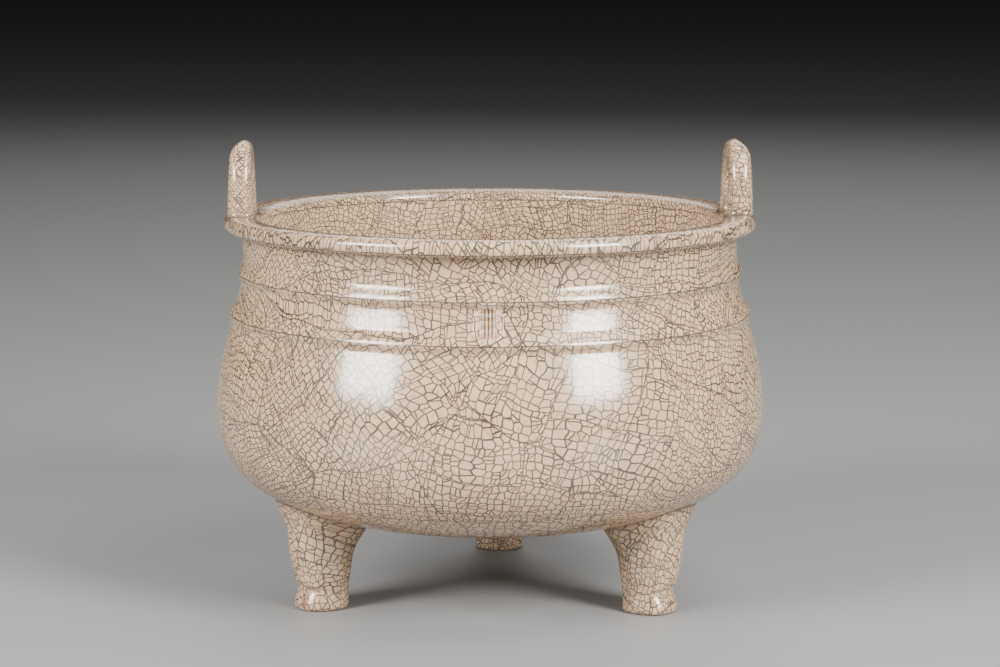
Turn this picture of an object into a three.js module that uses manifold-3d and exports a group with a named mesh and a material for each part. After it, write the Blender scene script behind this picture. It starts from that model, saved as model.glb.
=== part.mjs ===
import * as THREE from 'three';
import { mergeVertices } from 'three/addons/utils/BufferGeometryUtils.js';
import Module from 'manifold-3d';

// Crackle-glazed tripod censer, thrown, joined and fired as one hollow piece: a round bowl
// with a rolled lip, two raised rings and a small relief between them, two upright loop
// ears on the lip, and three short feet.
// Millimetres. +Z is up, the floor is Z = 0, and the bowl's axis is the Z axis.
// The ears stand at -X and +X, and the relief faces the front, -Y.

// Bowl heights, each measured from the one before it
const FOOT_CLEARANCE = 25.6; // floor to the lowest point of the belly
const BELLY_RISE = 39.6; // lowest point of the belly to its widest ring
const SHOULDER_RISE = 33.5; // widest ring to the crest of the lower raised ring
const BAND_RISE = 13.8; // crest of the lower raised ring to the crest of the upper one
const NECK_RISE = 6.0; // crest of the upper raised ring to the narrowest neck
const LIP_RISE = 14.1; // narrowest neck to the top of the lip

// Bowl radii and walls
const BELLY_RADIUS = 94.9; // outside of the widest ring
const NECK_DRAW = 9.7; // how far the narrowest neck stays inside the widest ring
const LIP_OVERHANG = 6.4; // how far the lip's edge stands out from the neck
const WALL = 5.0; // thickness of the bowl's wall
const FLOOR_THICKNESS = 6.0; // thickness of the bowl's floor at its middle
const BELLY_FULLNESS = 0.685; // how far the flat of the underside reaches, as a share of the radius
const BELLY_STEEPNESS = 0.76; // how far the upright of the belly reaches down, as a share of its rise
const SHOULDER_EASE = 1.1; // above 1, the shoulder leans in later

// Raised rings
const RING_RELIEF = 1.5; // how far a crest stands out from the wall
const RING_FLARE = 4.7; // height over which the wall swells to a crest from above
const RING_UNDERCUT = 3.1; // height over which it falls back below the crest

// Lip
const LIP_THICKNESS = 5.6; // underside to top of the lip
const LIP_COVE = 1.6; // hollow between the neck and the lip's underside
const LIP_EDGE = 2.5; // rounding of the lip's lower edge
const LIP_CROWN = 2.9; // drop from the top of the lip to its outer edge
const LIP_ROLL = 4.2; // from the lip's outer edge in to its highest ring

// Loop ears
const EAR_RISE = 24.9; // top of the lip to the top of an ear
const EAR_WIDTH = 29.4; // outside width of the loop
const EAR_POST = 8.6; // width of one post
const EAR_CROWN = 8.0; // height of the arch above the opening
const EAR_SETBACK = 1.3; // how far the ear's outer face stays behind the lip's edge
const EAR_INSET = 0.4; // how far the ear's inner face stays behind the bowl's mouth
const EAR_TAPER = 1.1; // how much each face leans in towards the top
const EAR_SHOULDER = 6.4; // rounding of the top on its outer side
const EAR_NOSE = 3.2; // rounding of the top on its inner side
const EAR_ROUNDING = 2.3; // rounding of the loop's edges
const EAR_ARCH_FULLNESS = 0.58; // how square the arch is, as a share of its half width
const EAR_SEAT = 3.2; // how deep the posts run into the lip

// Feet
const FOOT_COUNT = 3;
const FOOT_SETBACK = 30.3; // how far the circle through the feet stays inside the widest ring
const FOOT_TURN = -4.8; // degrees that the feet are turned from facing the front evenly
const CALF_DEPTH = 18.9; // front to back, at the calf
const CALF_WIDTH = 19.6; // side to side, at the calf
const FOOT_SQUARENESS = 2.4; // 2 is an ellipse, more is squarer

// Small relief between the raised rings
const RELIEF_WIDTH = 10.2; // width across its lugs
const RELIEF_NECK = 4.8; // width of its ends
const RELIEF_LUGS = 0.38; // half height of its lugs, as a share of its own half height
const RELIEF_HEIGHT = 1.1; // how far it stands out from the wall
const RELIEF_TURN = -2.3; // degrees that it is turned from the front
const REED_COUNT = 3;
const REED_PITCH = 1.25; // between the upright reeds on it
const REED_RELIEF = 0.45; // how far a reed stands out
const REED_LENGTH = 9.6;
const REED_NOTCHES = 4; // notches along each reed
const REED_NOTCH_DEPTH = 0.6; // depth of a notch, as a share of the reed's relief

const AROUND = 60; // facets around the bowl
const GLAZE = new THREE.MeshStandardMaterial({ color: 0xd8c8b4, roughness: 0.15, metalness: 0 });
GLAZE.name = 'crackle_glaze';

const BELLY_LEVEL = FOOT_CLEARANCE + BELLY_RISE;
const LOWER_RING_LEVEL = BELLY_LEVEL + SHOULDER_RISE;
const UPPER_RING_LEVEL = LOWER_RING_LEVEL + BAND_RISE;
const NECK_LEVEL = UPPER_RING_LEVEL + NECK_RISE;
const LIP_LEVEL = NECK_LEVEL + LIP_RISE;
const NECK_RADIUS = BELLY_RADIUS - NECK_DRAW;
const LIP_RADIUS = NECK_RADIUS + LIP_OVERHANG;
const MOUTH_RADIUS = NECK_RADIUS - WALL;
const FOOT_CIRCLE = BELLY_RADIUS - FOOT_SETBACK;

const wasm = await Module();
wasm.setup();

// A closed solid from a geometry, its shared corners merged and its flat slivers dropped.
function toSolid(geometry) {
  const bare = geometry.clone();
  bare.deleteAttribute('normal');
  bare.deleteAttribute('uv');
  const merged = mergeVertices(bare, 1e-4);
  const corners = merged.index.array;
  const kept = [];
  for (let i = 0; i < corners.length; i += 3) {
    const [a, b, c] = [corners[i], corners[i + 1], corners[i + 2]];
    if (a !== b && b !== c && c !== a) kept.push(a, b, c);
  }
  const vertProperties = new Float32Array(merged.attributes.position.array);
  return new wasm.Manifold(new wasm.Mesh({ numProp: 3, vertProperties, triVerts: new Uint32Array(kept) }));
}

function toGeometry(solid) {
  const mesh = solid.getMesh();
  const geometry = new THREE.BufferGeometry();
  geometry.setAttribute('position', new THREE.BufferAttribute(mesh.vertProperties, 3));
  geometry.setIndex(new THREE.BufferAttribute(mesh.triVerts, 1));
  geometry.computeVertexNormals();
  return geometry;
}

// A closed geometry from rings of points, each ring with the same count, the first and the
// last closed by a fan around its middle.
function loftRings(rings) {
  const count = rings[0].length;
  const points = rings.flat();
  const corners = [];
  for (let level = 0; level + 1 < rings.length; level += 1) {
    for (let i = 0; i < count; i += 1) {
      const next = (i + 1) % count;
      const low = level * count;
      const high = low + count;
      corners.push(low + i, low + next, high + next, low + i, high + next, high + i);
    }
  }
  const middle = (ring) => ring.reduce((sum, p) => sum.add(p), new THREE.Vector3()).divideScalar(count);
  const bottom = points.push(middle(rings[0])) - 1;
  const top = points.push(middle(rings.at(-1))) - 1;
  const last = (rings.length - 1) * count;
  for (let i = 0; i < count; i += 1) {
    const next = (i + 1) % count;
    corners.push(bottom, next, i, top, last + i, last + next);
  }
  const geometry = new THREE.BufferGeometry().setFromPoints(points);
  geometry.setIndex(corners);
  return geometry;
}

// Smooth step from 0 to 1.
function ease(t) {
  const clamped = THREE.MathUtils.clamp(t, 0, 1);
  return clamped * clamped * (3 - 2 * clamped);
}

// Outside of the wall above the belly, without the raised rings.
function plainRadius(z) {
  const share = THREE.MathUtils.clamp((z - BELLY_LEVEL) / (NECK_LEVEL - BELLY_LEVEL), 0, 1);
  return BELLY_RADIUS - (BELLY_RADIUS - NECK_RADIUS) * ease(share ** SHOULDER_EASE);
}

// What the raised ring with this crest adds: it swells slowly from above and falls back
// quickly below.
function ringRelief(z, crest) {
  const away = z > crest ? (z - crest) / RING_FLARE : (crest - z) / RING_UNDERCUT;
  return away < 1 ? RING_RELIEF * 0.5 * (1 + Math.cos(Math.PI * away)) : 0;
}

function wallRadius(z) {
  return plainRadius(z) + ringRelief(z, LOWER_RING_LEVEL) + ringRelief(z, UPPER_RING_LEVEL);
}

// The rounded underside, from the axis out to the widest ring, offset inwards by a wall.
function bellyCurve(wall, floor) {
  const rise = BELLY_RISE - floor;
  const radius = BELLY_RADIUS - wall;
  return new THREE.CubicBezierCurve(
    new THREE.Vector2(0, BELLY_LEVEL - rise),
    new THREE.Vector2(radius * BELLY_FULLNESS, BELLY_LEVEL - rise),
    new THREE.Vector2(radius, BELLY_LEVEL - rise * BELLY_STEEPNESS),
    new THREE.Vector2(radius, BELLY_LEVEL),
  );
}

const OUTER_BELLY = bellyCurve(0, 0);
const INNER_BELLY = bellyCurve(WALL, FLOOR_THICKNESS);

// Height of the underside at a distance from the axis.
function undersideHeight(radius) {
  let low = 0;
  let high = 1;
  for (let step = 0; step < 40; step += 1) {
    const middle = (low + high) / 2;
    if (OUTER_BELLY.getPoint(middle).x < radius) low = middle;
    else high = middle;
  }
  return OUTER_BELLY.getPoint(low).y;
}

// Heights at which the wall is sampled: closer around the raised rings.
function wallLevels() {
  const levels = [];
  for (let share = 0.25; share < 0.8; share += 0.25) {
    levels.push(BELLY_LEVEL + share * (SHOULDER_RISE - RING_UNDERCUT));
  }
  for (const crest of [LOWER_RING_LEVEL, UPPER_RING_LEVEL]) {
    for (const share of [1, 0.6, 0.3]) levels.push(crest - share * RING_UNDERCUT);
    for (const share of [0, 0.25, 0.5, 0.75, 1]) levels.push(crest + share * RING_FLARE);
  }
  return levels.filter((z) => z < NECK_LEVEL);
}

// The bowl's section: out along the underside, up the wall, over the lip and down inside.
function bowlSection() {
  const underLip = LIP_LEVEL - LIP_THICKNESS;
  const lip = new THREE.Path();
  lip.moveTo(NECK_RADIUS, underLip - LIP_COVE);
  lip.quadraticCurveTo(NECK_RADIUS, underLip, NECK_RADIUS + LIP_COVE, underLip);
  lip.lineTo(LIP_RADIUS - LIP_EDGE, underLip);
  lip.quadraticCurveTo(LIP_RADIUS, underLip, LIP_RADIUS, underLip + LIP_EDGE);
  lip.lineTo(LIP_RADIUS, LIP_LEVEL - LIP_CROWN);
  lip.quadraticCurveTo(LIP_RADIUS, LIP_LEVEL, LIP_RADIUS - LIP_ROLL, LIP_LEVEL);
  lip.quadraticCurveTo(MOUTH_RADIUS, LIP_LEVEL, MOUTH_RADIUS, LIP_LEVEL - LIP_CROWN);
  const wall = wallLevels().map((z) => new THREE.Vector2(wallRadius(z), z));
  const inside = [];
  for (const share of [0, 0.3, 0.55, 0.8]) {
    const z = NECK_LEVEL + share * (BELLY_LEVEL - NECK_LEVEL);
    inside.push(new THREE.Vector2(plainRadius(z) - WALL, z));
  }
  return [
    ...OUTER_BELLY.getPoints(10),
    ...wall,
    new THREE.Vector2(NECK_RADIUS, NECK_LEVEL),
    ...lip.getPoints(3),
    ...inside,
    ...INNER_BELLY.getPoints(6).reverse(),
  ];
}

function makeBowl() {
  const lathe = new THREE.LatheGeometry(bowlSection(), AROUND);
  lathe.rotateX(Math.PI / 2);
  return toSolid(lathe);
}

// Face of a loop ear: an arch with an arched opening, its posts running into the lip.
function earFace() {
  const half = EAR_WIDTH / 2 - EAR_ROUNDING;
  const foot = -EAR_SEAT;
  const top = EAR_RISE - EAR_ROUNDING;
  const spring = EAR_RISE - EAR_WIDTH / 2;
  const face = new THREE.Shape();
  face.moveTo(-half, foot);
  face.lineTo(half, foot);
  face.lineTo(half, spring);
  const shoulder = half * EAR_ARCH_FULLNESS;
  face.bezierCurveTo(half, top - half + shoulder, shoulder, top, 0, top);
  face.bezierCurveTo(-shoulder, top, -half, top - half + shoulder, -half, spring);
  const gap = EAR_WIDTH / 2 - EAR_POST + EAR_ROUNDING;
  const gapTop = EAR_RISE - EAR_CROWN + EAR_ROUNDING;
  const gapFoot = -EAR_ROUNDING / 2;
  const opening = new THREE.Path();
  opening.moveTo(gap, gapFoot);
  opening.lineTo(-gap, gapFoot);
  opening.lineTo(-gap, gapTop - gap);
  opening.absarc(0, gapTop - gap, gap, Math.PI, 0, true);
  face.holes.push(opening);
  return face;
}

// Side of a loop ear: upright, leaning in a little, with a broad shoulder on its outer side.
function earSide(depth) {
  const half = depth / 2;
  const topHalf = half - EAR_TAPER;
  const side = new THREE.Shape();
  side.moveTo(-half, -2 * EAR_SEAT);
  side.lineTo(half, -2 * EAR_SEAT);
  side.lineTo(topHalf, EAR_RISE - EAR_SHOULDER);
  side.quadraticCurveTo(topHalf, EAR_RISE - EAR_NOSE / 2, -topHalf + EAR_NOSE, EAR_RISE);
  side.quadraticCurveTo(-topHalf, EAR_RISE, -topHalf, EAR_RISE - EAR_NOSE);
  return side;
}

// One loop ear at +X, cut from its face and its side.
function makeEar() {
  const depth = LIP_RADIUS - EAR_SETBACK - (MOUTH_RADIUS + EAR_INSET);
  const options = { bevelEnabled: true, bevelThickness: EAR_ROUNDING, bevelSize: EAR_ROUNDING };
  const face = new THREE.ExtrudeGeometry(earFace(), {
    ...options,
    depth: depth - 2 * EAR_ROUNDING,
    bevelSegments: 2,
    curveSegments: 6,
  });
  face.translate(0, 0, EAR_ROUNDING - depth / 2);
  face.rotateX(Math.PI / 2);
  face.rotateZ(Math.PI / 2);
  const side = new THREE.ExtrudeGeometry(earSide(depth), {
    bevelEnabled: false,
    depth: 2 * EAR_WIDTH,
    curveSegments: 4,
  });
  side.translate(0, 0, -EAR_WIDTH);
  side.rotateX(Math.PI / 2);
  const middle = LIP_RADIUS - EAR_SETBACK - depth / 2;
  return toSolid(face).intersect(toSolid(side)).translate([middle, 0, LIP_LEVEL]);
}

// Sections of a foot from the sole up. Height is a share of the way to the belly; outer, inner
// and side are the reach from the foot's middle as shares of the calf's half size.
const FOOT_SECTIONS = [
  { height: 0.0, outer: 0.8, inner: 0.8, side: 0.76 },
  { height: 0.018, outer: 0.94, inner: 0.9, side: 0.86 },
  { height: 0.05, outer: 0.96, inner: 0.93, side: 0.9 },
  { height: 0.105, outer: 0.88, inner: 0.93, side: 0.89 },
  { height: 0.185, outer: 0.74, inner: 0.93, side: 0.86 },
  { height: 0.225, outer: 0.88, inner: 0.94, side: 0.9 },
  { height: 0.28, outer: 0.965, inner: 0.945, side: 0.93 },
  { height: 0.366, outer: 1.02, inner: 0.98, side: 1.0 },
  { height: 0.56, outer: 1.16, inner: 1.07, side: 1.08 },
  { height: 0.66, outer: 1.17, inner: 1.16, side: 1.13 },
  { height: 0.745, outer: 1.29, inner: 1.31, side: 1.22 },
  { height: 0.86, outer: 1.5, inner: 1.55, side: 1.42 },
  { height: 1.0, outer: 1.66, inner: 1.8, side: 1.66 },
];

// One foot, pointing out along +X: its top follows the underside, inside the wall.
function makeFoot() {
  const around = 18;
  const power = 2 / FOOT_SQUARENESS;
  const spread = (value) => Math.sign(value) * Math.abs(value) ** power;
  const place = (section, i) => {
    const angle = (2 * Math.PI * (i + 0.5)) / around;
    const reach = Math.cos(angle) > 0 ? section.outer : section.inner;
    const x = FOOT_CIRCLE + spread(Math.cos(angle)) * reach * (CALF_DEPTH / 2);
    const y = spread(Math.sin(angle)) * section.side * (CALF_WIDTH / 2);
    return new THREE.Vector3(x, y, 0);
  };
  const top = FOOT_SECTIONS.at(-1);
  const rings = FOOT_SECTIONS.map((section) => {
    const ring = [];
    for (let i = 0; i < around; i += 1) {
      const end = place(top, i);
      const point = place(section, i);
      point.z = section.height * (undersideHeight(Math.hypot(end.x, end.y)) + WALL / 2);
      ring.push(point);
    }
    return ring;
  });
  return toSolid(loftRings(rings));
}

// Relief above the wall, from its middle: across is sideways, up is along the wall. It is a pad
// with lugs at mid height, and upright reeds with small notches along its middle.
function reliefHeight(across, up) {
  const share = Math.abs(up) / (BAND_RISE / 2);
  const spread = 1 - ease((share - RELIEF_LUGS) / RELIEF_LUGS);
  const halfWidth = RELIEF_NECK / 2 + ((RELIEF_WIDTH - RELIEF_NECK) / 2) * spread;
  const inside = ease((halfWidth - Math.abs(across)) / RELIEF_HEIGHT);
  const reedHalf = (REED_COUNT * REED_PITCH) / 2;
  const onReeds = Math.abs(across) < reedHalf && Math.abs(up) < REED_LENGTH / 2;
  if (!onReeds) return RELIEF_HEIGHT * inside;
  const wave = Math.cos((2 * Math.PI * across) / REED_PITCH);
  const notch = Math.cos((2 * Math.PI * REED_NOTCHES * up) / REED_LENGTH);
  return RELIEF_HEIGHT * inside + REED_RELIEF * (wave - (REED_NOTCH_DEPTH * (1 - notch)) / 2);
}

// The small relief as a closed patch, its edges just under the wall's skin, its back inside.
function makeRelief() {
  const columns = 20;
  const rows = 14;
  const middle = (LOWER_RING_LEVEL + UPPER_RING_LEVEL) / 2;
  const grid = (depthAt) => {
    const points = [];
    for (let row = 0; row <= rows; row += 1) {
      for (let column = 0; column <= columns; column += 1) {
        const across = (column / columns - 0.5) * (RELIEF_WIDTH + RELIEF_HEIGHT);
        const up = (row / rows - 0.5) * BAND_RISE;
        const radius = depthAt(across, up);
        const angle = across / wallRadius(middle);
        points.push(new THREE.Vector3(radius * Math.sin(angle), -radius * Math.cos(angle), middle + up));
      }
    }
    return points;
  };
  const skin = WALL / 50;
  const front = grid((across, up) => wallRadius(middle + up) - skin + reliefHeight(across, up));
  const back = grid((across, up) => wallRadius(middle + up) - WALL / 2);
  const points = [...front, ...back];
  const corners = [];
  const stride = columns + 1;
  const offset = front.length;
  for (let row = 0; row < rows; row += 1) {
    for (let column = 0; column < columns; column += 1) {
      const a = row * stride + column;
      const [b, c, d] = [a + 1, a + stride + 1, a + stride];
      corners.push(a, b, c, a, c, d);
      corners.push(offset + a, offset + c, offset + b, offset + a, offset + d, offset + c);
    }
  }
  const rim = [];
  for (let column = 0; column < columns; column += 1) rim.push(column);
  for (let row = 0; row < rows; row += 1) rim.push(row * stride + columns);
  for (let column = columns; column > 0; column -= 1) rim.push(rows * stride + column);
  for (let row = rows; row > 0; row -= 1) rim.push(row * stride);
  rim.forEach((a, i) => {
    const b = rim[(i + 1) % rim.length];
    corners.push(a, offset + a, offset + b, a, offset + b, b);
  });
  const geometry = new THREE.BufferGeometry().setFromPoints(points);
  geometry.setIndex(corners);
  return toSolid(geometry).rotate([0, 0, RELIEF_TURN]);
}

function makeCenser() {
  let solid = makeBowl();
  const ear = makeEar();
  solid = solid.add(ear).add(ear.rotate([0, 0, 180]));
  const foot = makeFoot();
  for (let i = 0; i < FOOT_COUNT; i += 1) {
    solid = solid.add(foot.rotate([0, 0, 90 + FOOT_TURN + (360 / FOOT_COUNT) * i]));
  }
  solid = solid.add(makeRelief());
  const mesh = new THREE.Mesh(toGeometry(solid), GLAZE);
  mesh.name = 'censer';
  return mesh;
}

const censer = new THREE.Group();
censer.add(makeCenser());

export default censer;
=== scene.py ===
"""Dresses the crackle-glazed tripod censer: one hollow glazed piece standing on a pale floor.

The skin follows the same sections as the solid, sampled finer: a bowl turned around its axis, two
loop ears that melt into the lip, three feet that melt into the underside, and a small relief
between the raised rings. Lengths are millimetres in the form classes and metres in the scene.
+Z is up, the floor is Z = 0, the ears stand at -X and +X, and the relief faces -Y.
"""

from __future__ import annotations

import logging
import math
from collections.abc import Sequence
from dataclasses import dataclass, field
from enum import Enum

import bmesh
import bpy
import numpy as np
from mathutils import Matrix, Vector, geometry, kdtree


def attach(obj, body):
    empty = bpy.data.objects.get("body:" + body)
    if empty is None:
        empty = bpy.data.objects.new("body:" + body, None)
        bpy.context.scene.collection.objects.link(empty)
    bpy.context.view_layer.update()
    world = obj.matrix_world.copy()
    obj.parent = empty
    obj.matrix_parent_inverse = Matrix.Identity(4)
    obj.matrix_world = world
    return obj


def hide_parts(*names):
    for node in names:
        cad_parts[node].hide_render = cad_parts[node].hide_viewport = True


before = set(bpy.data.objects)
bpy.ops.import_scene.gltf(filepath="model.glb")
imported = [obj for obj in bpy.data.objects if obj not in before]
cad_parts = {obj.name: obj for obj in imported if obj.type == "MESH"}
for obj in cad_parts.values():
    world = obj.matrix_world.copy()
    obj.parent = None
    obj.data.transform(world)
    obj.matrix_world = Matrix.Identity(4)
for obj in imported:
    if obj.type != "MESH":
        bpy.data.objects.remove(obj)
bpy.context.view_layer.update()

MM = 0.001
CHART = "glaze_chart"
LOG = logging.getLogger("censer")
Socket = bpy.types.NodeSocket

# Heights on the glaze chart, in millimetres, at which the parts other than the wall lie
UNDERSIDE_CHART = 1800.0
FLOOR_CHART = 2400.0
FOOT_CHART = 3000.0
SOLE_CHART = 3600.0
EAR_CHART = 4200.0
COPY_STEP = 300.0  # from one foot or ear to the next
LIP_RADIUS = 88.0  # where the flat chart of the lip around an ear is true to scale
FAR = 20.0  # the largest distance that is written on a point
NO_LINE = 50.0  # what puts a crack out of reach


def ease(t: np.ndarray) -> np.ndarray:
    """Smooth step from 0 to 1, clamped outside them."""
    held = np.clip(t, 0.0, 1.0)
    return held * held * (3.0 - 2.0 * held)


def bezier(points: Sequence[tuple[float, float]], count: int) -> np.ndarray:
    """Samples a quadratic or cubic Bezier curve.

    Args:
        points: The three or four control points.
        count: How many points to return, ends included.

    Returns:
        An array of count points.
    """
    degree = len(points) - 1
    t = np.linspace(0.0, 1.0, count)[:, None]
    curve = np.zeros((count, len(points[0])))
    for k, point in enumerate(points):
        curve += math.comb(degree, k) * t**k * (1 - t) ** (degree - k) * np.array(point)
    return curve


def waves(angle: np.ndarray, harmonics: Sequence[int], seed: int) -> np.ndarray:
    """A smooth wandering of about -1 to 1 around the circle.

    Args:
        angle: Angles in radians.
        harmonics: How many times each wave goes round.
        seed: Picks the waves' phases.

    Returns:
        The sum of the waves at each angle.
    """
    phases = np.random.default_rng(seed).uniform(0, 2 * math.pi, len(harmonics))
    total = sum(np.sin(n * angle + p) / (1 + 0.12 * n) for n, p in zip(harmonics, phases))
    return np.asarray(total) / (0.6 * len(harmonics))


def smooth_through(values: Sequence[float], at: np.ndarray) -> np.ndarray:
    """Runs a curve through evenly spaced values without overshoot.

    Args:
        values: The values at 0, 1, 2 and so on.
        at: Where to read the curve.

    Returns:
        The curve's values.
    """
    y = np.asarray(values, float)
    step = np.diff(y)
    slope = np.zeros_like(y)
    same = step[:-1] * step[1:] > 0
    slope[1:-1][same] = 2 * step[:-1][same] * step[1:][same] / (step[:-1] + step[1:])[same]
    slope[0], slope[-1] = step[0], step[-1]
    i = np.clip(np.floor(at).astype(int), 0, len(y) - 2)
    t = at - i
    a, b = y[i], y[i + 1]
    return (
        (1 + 2 * t) * (1 - t) ** 2 * a
        + t * (1 - t) ** 2 * slope[i]
        + t**2 * (3 - 2 * t) * b
        + t**2 * (t - 1) * slope[i + 1]
    )


@dataclass
class Patch:
    """A stretch of skin: its points, its faces, and the glaze chart at each face's corners."""

    points: np.ndarray
    faces: list[tuple[int, ...]]
    chart: list[np.ndarray]

    @staticmethod
    def grid(points: np.ndarray, chart: np.ndarray, closed_chart: np.ndarray | None = None) -> Patch:
        """Makes a patch from a grid of points.

        Args:
            points: An array of rows, columns and 3.
            chart: The same for the glaze chart, with 2.
            closed_chart: The chart of one more column, which makes the rows close on themselves.

        Returns:
            The patch, its faces outward where columns go round and rows go up.
        """
        rows, columns = points.shape[:2]
        number = np.arange(rows * columns).reshape(rows, columns)
        flat = chart
        if closed_chart is not None:
            number = np.concatenate([number, number[:, :1]], axis=1)
            flat = np.concatenate([chart, closed_chart[:, None]], axis=1)
        faces, corners = [], []
        for low, high, chart_low, chart_high in zip(number, number[1:], flat, flat[1:]):
            quads = np.stack([low[:-1], low[1:], high[1:], high[:-1]], axis=1)
            spots = np.stack([chart_low[:-1], chart_low[1:], chart_high[1:], chart_high[:-1]], axis=1)
            faces.extend(map(tuple, quads.tolist()))
            corners.extend(spots)
        return Patch(points.reshape(-1, 3), faces, corners)


@dataclass
class Skin:
    """Patches gathered into one surface, with the lines where their charts meet."""

    patches: list[Patch] = field(default_factory=list)
    chart_lines: list[np.ndarray] = field(default_factory=list)
    joint_lines: list[np.ndarray] = field(default_factory=list)

    def add(self, patch: Patch) -> None:
        """Adds a patch."""
        self.patches.append(patch)

    def line(self, points: np.ndarray, joint: bool = False) -> None:
        """Notes a line where two charts meet.

        Args:
            points: The line's points, in order.
            joint: Whether a foot or an ear is joined there.
        """
        (self.joint_lines if joint else self.chart_lines).append(points)

    def build(self, name: str) -> bpy.types.Mesh:
        """Makes the gathered patches into a mesh.

        Args:
            name: The mesh's name.

        Returns:
            A mesh in metres with its glaze chart.
        """
        faces, corners, start = [], [], 0
        for patch in self.patches:
            faces.extend(tuple(i + start for i in face) for face in patch.faces)
            corners.extend(patch.chart)
            start += len(patch.points)
        mesh = bpy.data.meshes.new(name)
        mesh.from_pydata((np.concatenate([p.points for p in self.patches]) * MM).tolist(), [], faces)
        layer = mesh.uv_layers.new(name=CHART)
        layer.uv.foreach_set("vector", np.concatenate(corners).astype(np.float32).ravel())
        mesh.update()
        return mesh


def resample(line: np.ndarray, step: float) -> np.ndarray:
    """Puts points along a polyline at an even step.

    Args:
        line: The polyline's points.
        step: The distance between two new points.

    Returns:
        The new points, ends included.
    """
    along = np.concatenate([[0.0], np.cumsum(np.linalg.norm(np.diff(line, axis=0), axis=1))])
    at = np.linspace(0.0, along[-1], max(2, int(along[-1] / step)))
    return np.stack([np.interp(at, along, line[:, k]) for k in range(line.shape[1])], axis=1)


def near_lines(points: np.ndarray, lines: Sequence[np.ndarray], most: float) -> np.ndarray:
    """Distance from each point to the nearest of some lines.

    Args:
        points: The points.
        lines: The polylines.
        most: The largest distance to return.

    Returns:
        The distances.
    """
    spots = np.concatenate([resample(line, 0.12) for line in lines])
    tree = kdtree.KDTree(len(spots))
    for i, spot in enumerate(spots.tolist()):
        tree.insert(spot, i)
    tree.balance()
    found = [tree.find(point)[2] for point in points.tolist()]
    return np.minimum(np.array(found), most)


def fill(
    outline: np.ndarray, holes: Sequence[np.ndarray], inner: np.ndarray
) -> tuple[np.ndarray, np.ndarray]:
    """Fills a flat outline around holes with triangles.

    Args:
        outline: The closed outer line's points, anticlockwise.
        holes: Closed lines left open.
        inner: Loose points to use where they are clear of the lines.

    Returns:
        All points, the outline's and the holes' first and in their order, and the triangles.
    """
    lines = [outline, *holes]
    clear = np.ones(len(inner), bool)
    for hole in holes:
        clear &= ~inside(hole, inner) & (gap_to(hole, inner) > 0.45)
    clear &= inside(outline, inner) & (gap_to(outline, inner) > 0.3)
    points = np.concatenate([*lines, inner[clear]])
    edges, start = [], 0
    for line in lines:
        edges += [(start + i, start + (i + 1) % len(line)) for i in range(len(line))]
        start += len(line)
    result = geometry.delaunay_2d_cdt([tuple(p) for p in points.tolist()], edges, [], 0, 1e-6)
    new_points = np.array([tuple(v) for v in result[0]])
    source = [ids[0] for ids in result[3]]
    triangles = np.array([[source[i] for i in face] for face in result[2]])
    if len(new_points) != len(points):
        LOG.info("fill: %d points became %d", len(points), len(new_points))
    middle = points[triangles].mean(axis=1)
    keep = inside(outline, middle)
    for hole in holes:
        keep &= ~inside(hole, middle)
    triangles = triangles[keep]
    a, b, c = (points[triangles[:, k]] for k in range(3))
    turn = (b[:, 0] - a[:, 0]) * (c[:, 1] - a[:, 1]) - (b[:, 1] - a[:, 1]) * (c[:, 0] - a[:, 0])
    triangles[turn < 0] = triangles[turn < 0][:, ::-1]
    return points, triangles


def inside(line: np.ndarray, points: np.ndarray) -> np.ndarray:
    """Tells which points are inside a closed line.

    Args:
        line: The closed line's points.
        points: The points to tell.

    Returns:
        True for each point inside.
    """
    result = np.zeros(len(points), bool)
    x, y = points[:, 0], points[:, 1]
    for (ax, ay), (bx, by) in zip(line, np.roll(line, -1, axis=0)):
        if ay == by:
            continue
        crosses = (ay > y) != (by > y)
        result ^= crosses & (x < (bx - ax) * (y - ay) / (by - ay) + ax)
    return result


def gap_to(line: np.ndarray, points: np.ndarray) -> np.ndarray:
    """Distance from each point to the nearest corner of a closed line, halfway ones added.

    Args:
        line: The closed line's points.
        points: The points to measure from.

    Returns:
        The distances.
    """
    corners = np.concatenate([line, (line + np.roll(line, -1, axis=0)) / 2])
    best = np.full(len(points), np.inf)
    for corner in corners:
        best = np.minimum(best, np.hypot(*(points - corner).T))
    return best


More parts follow.
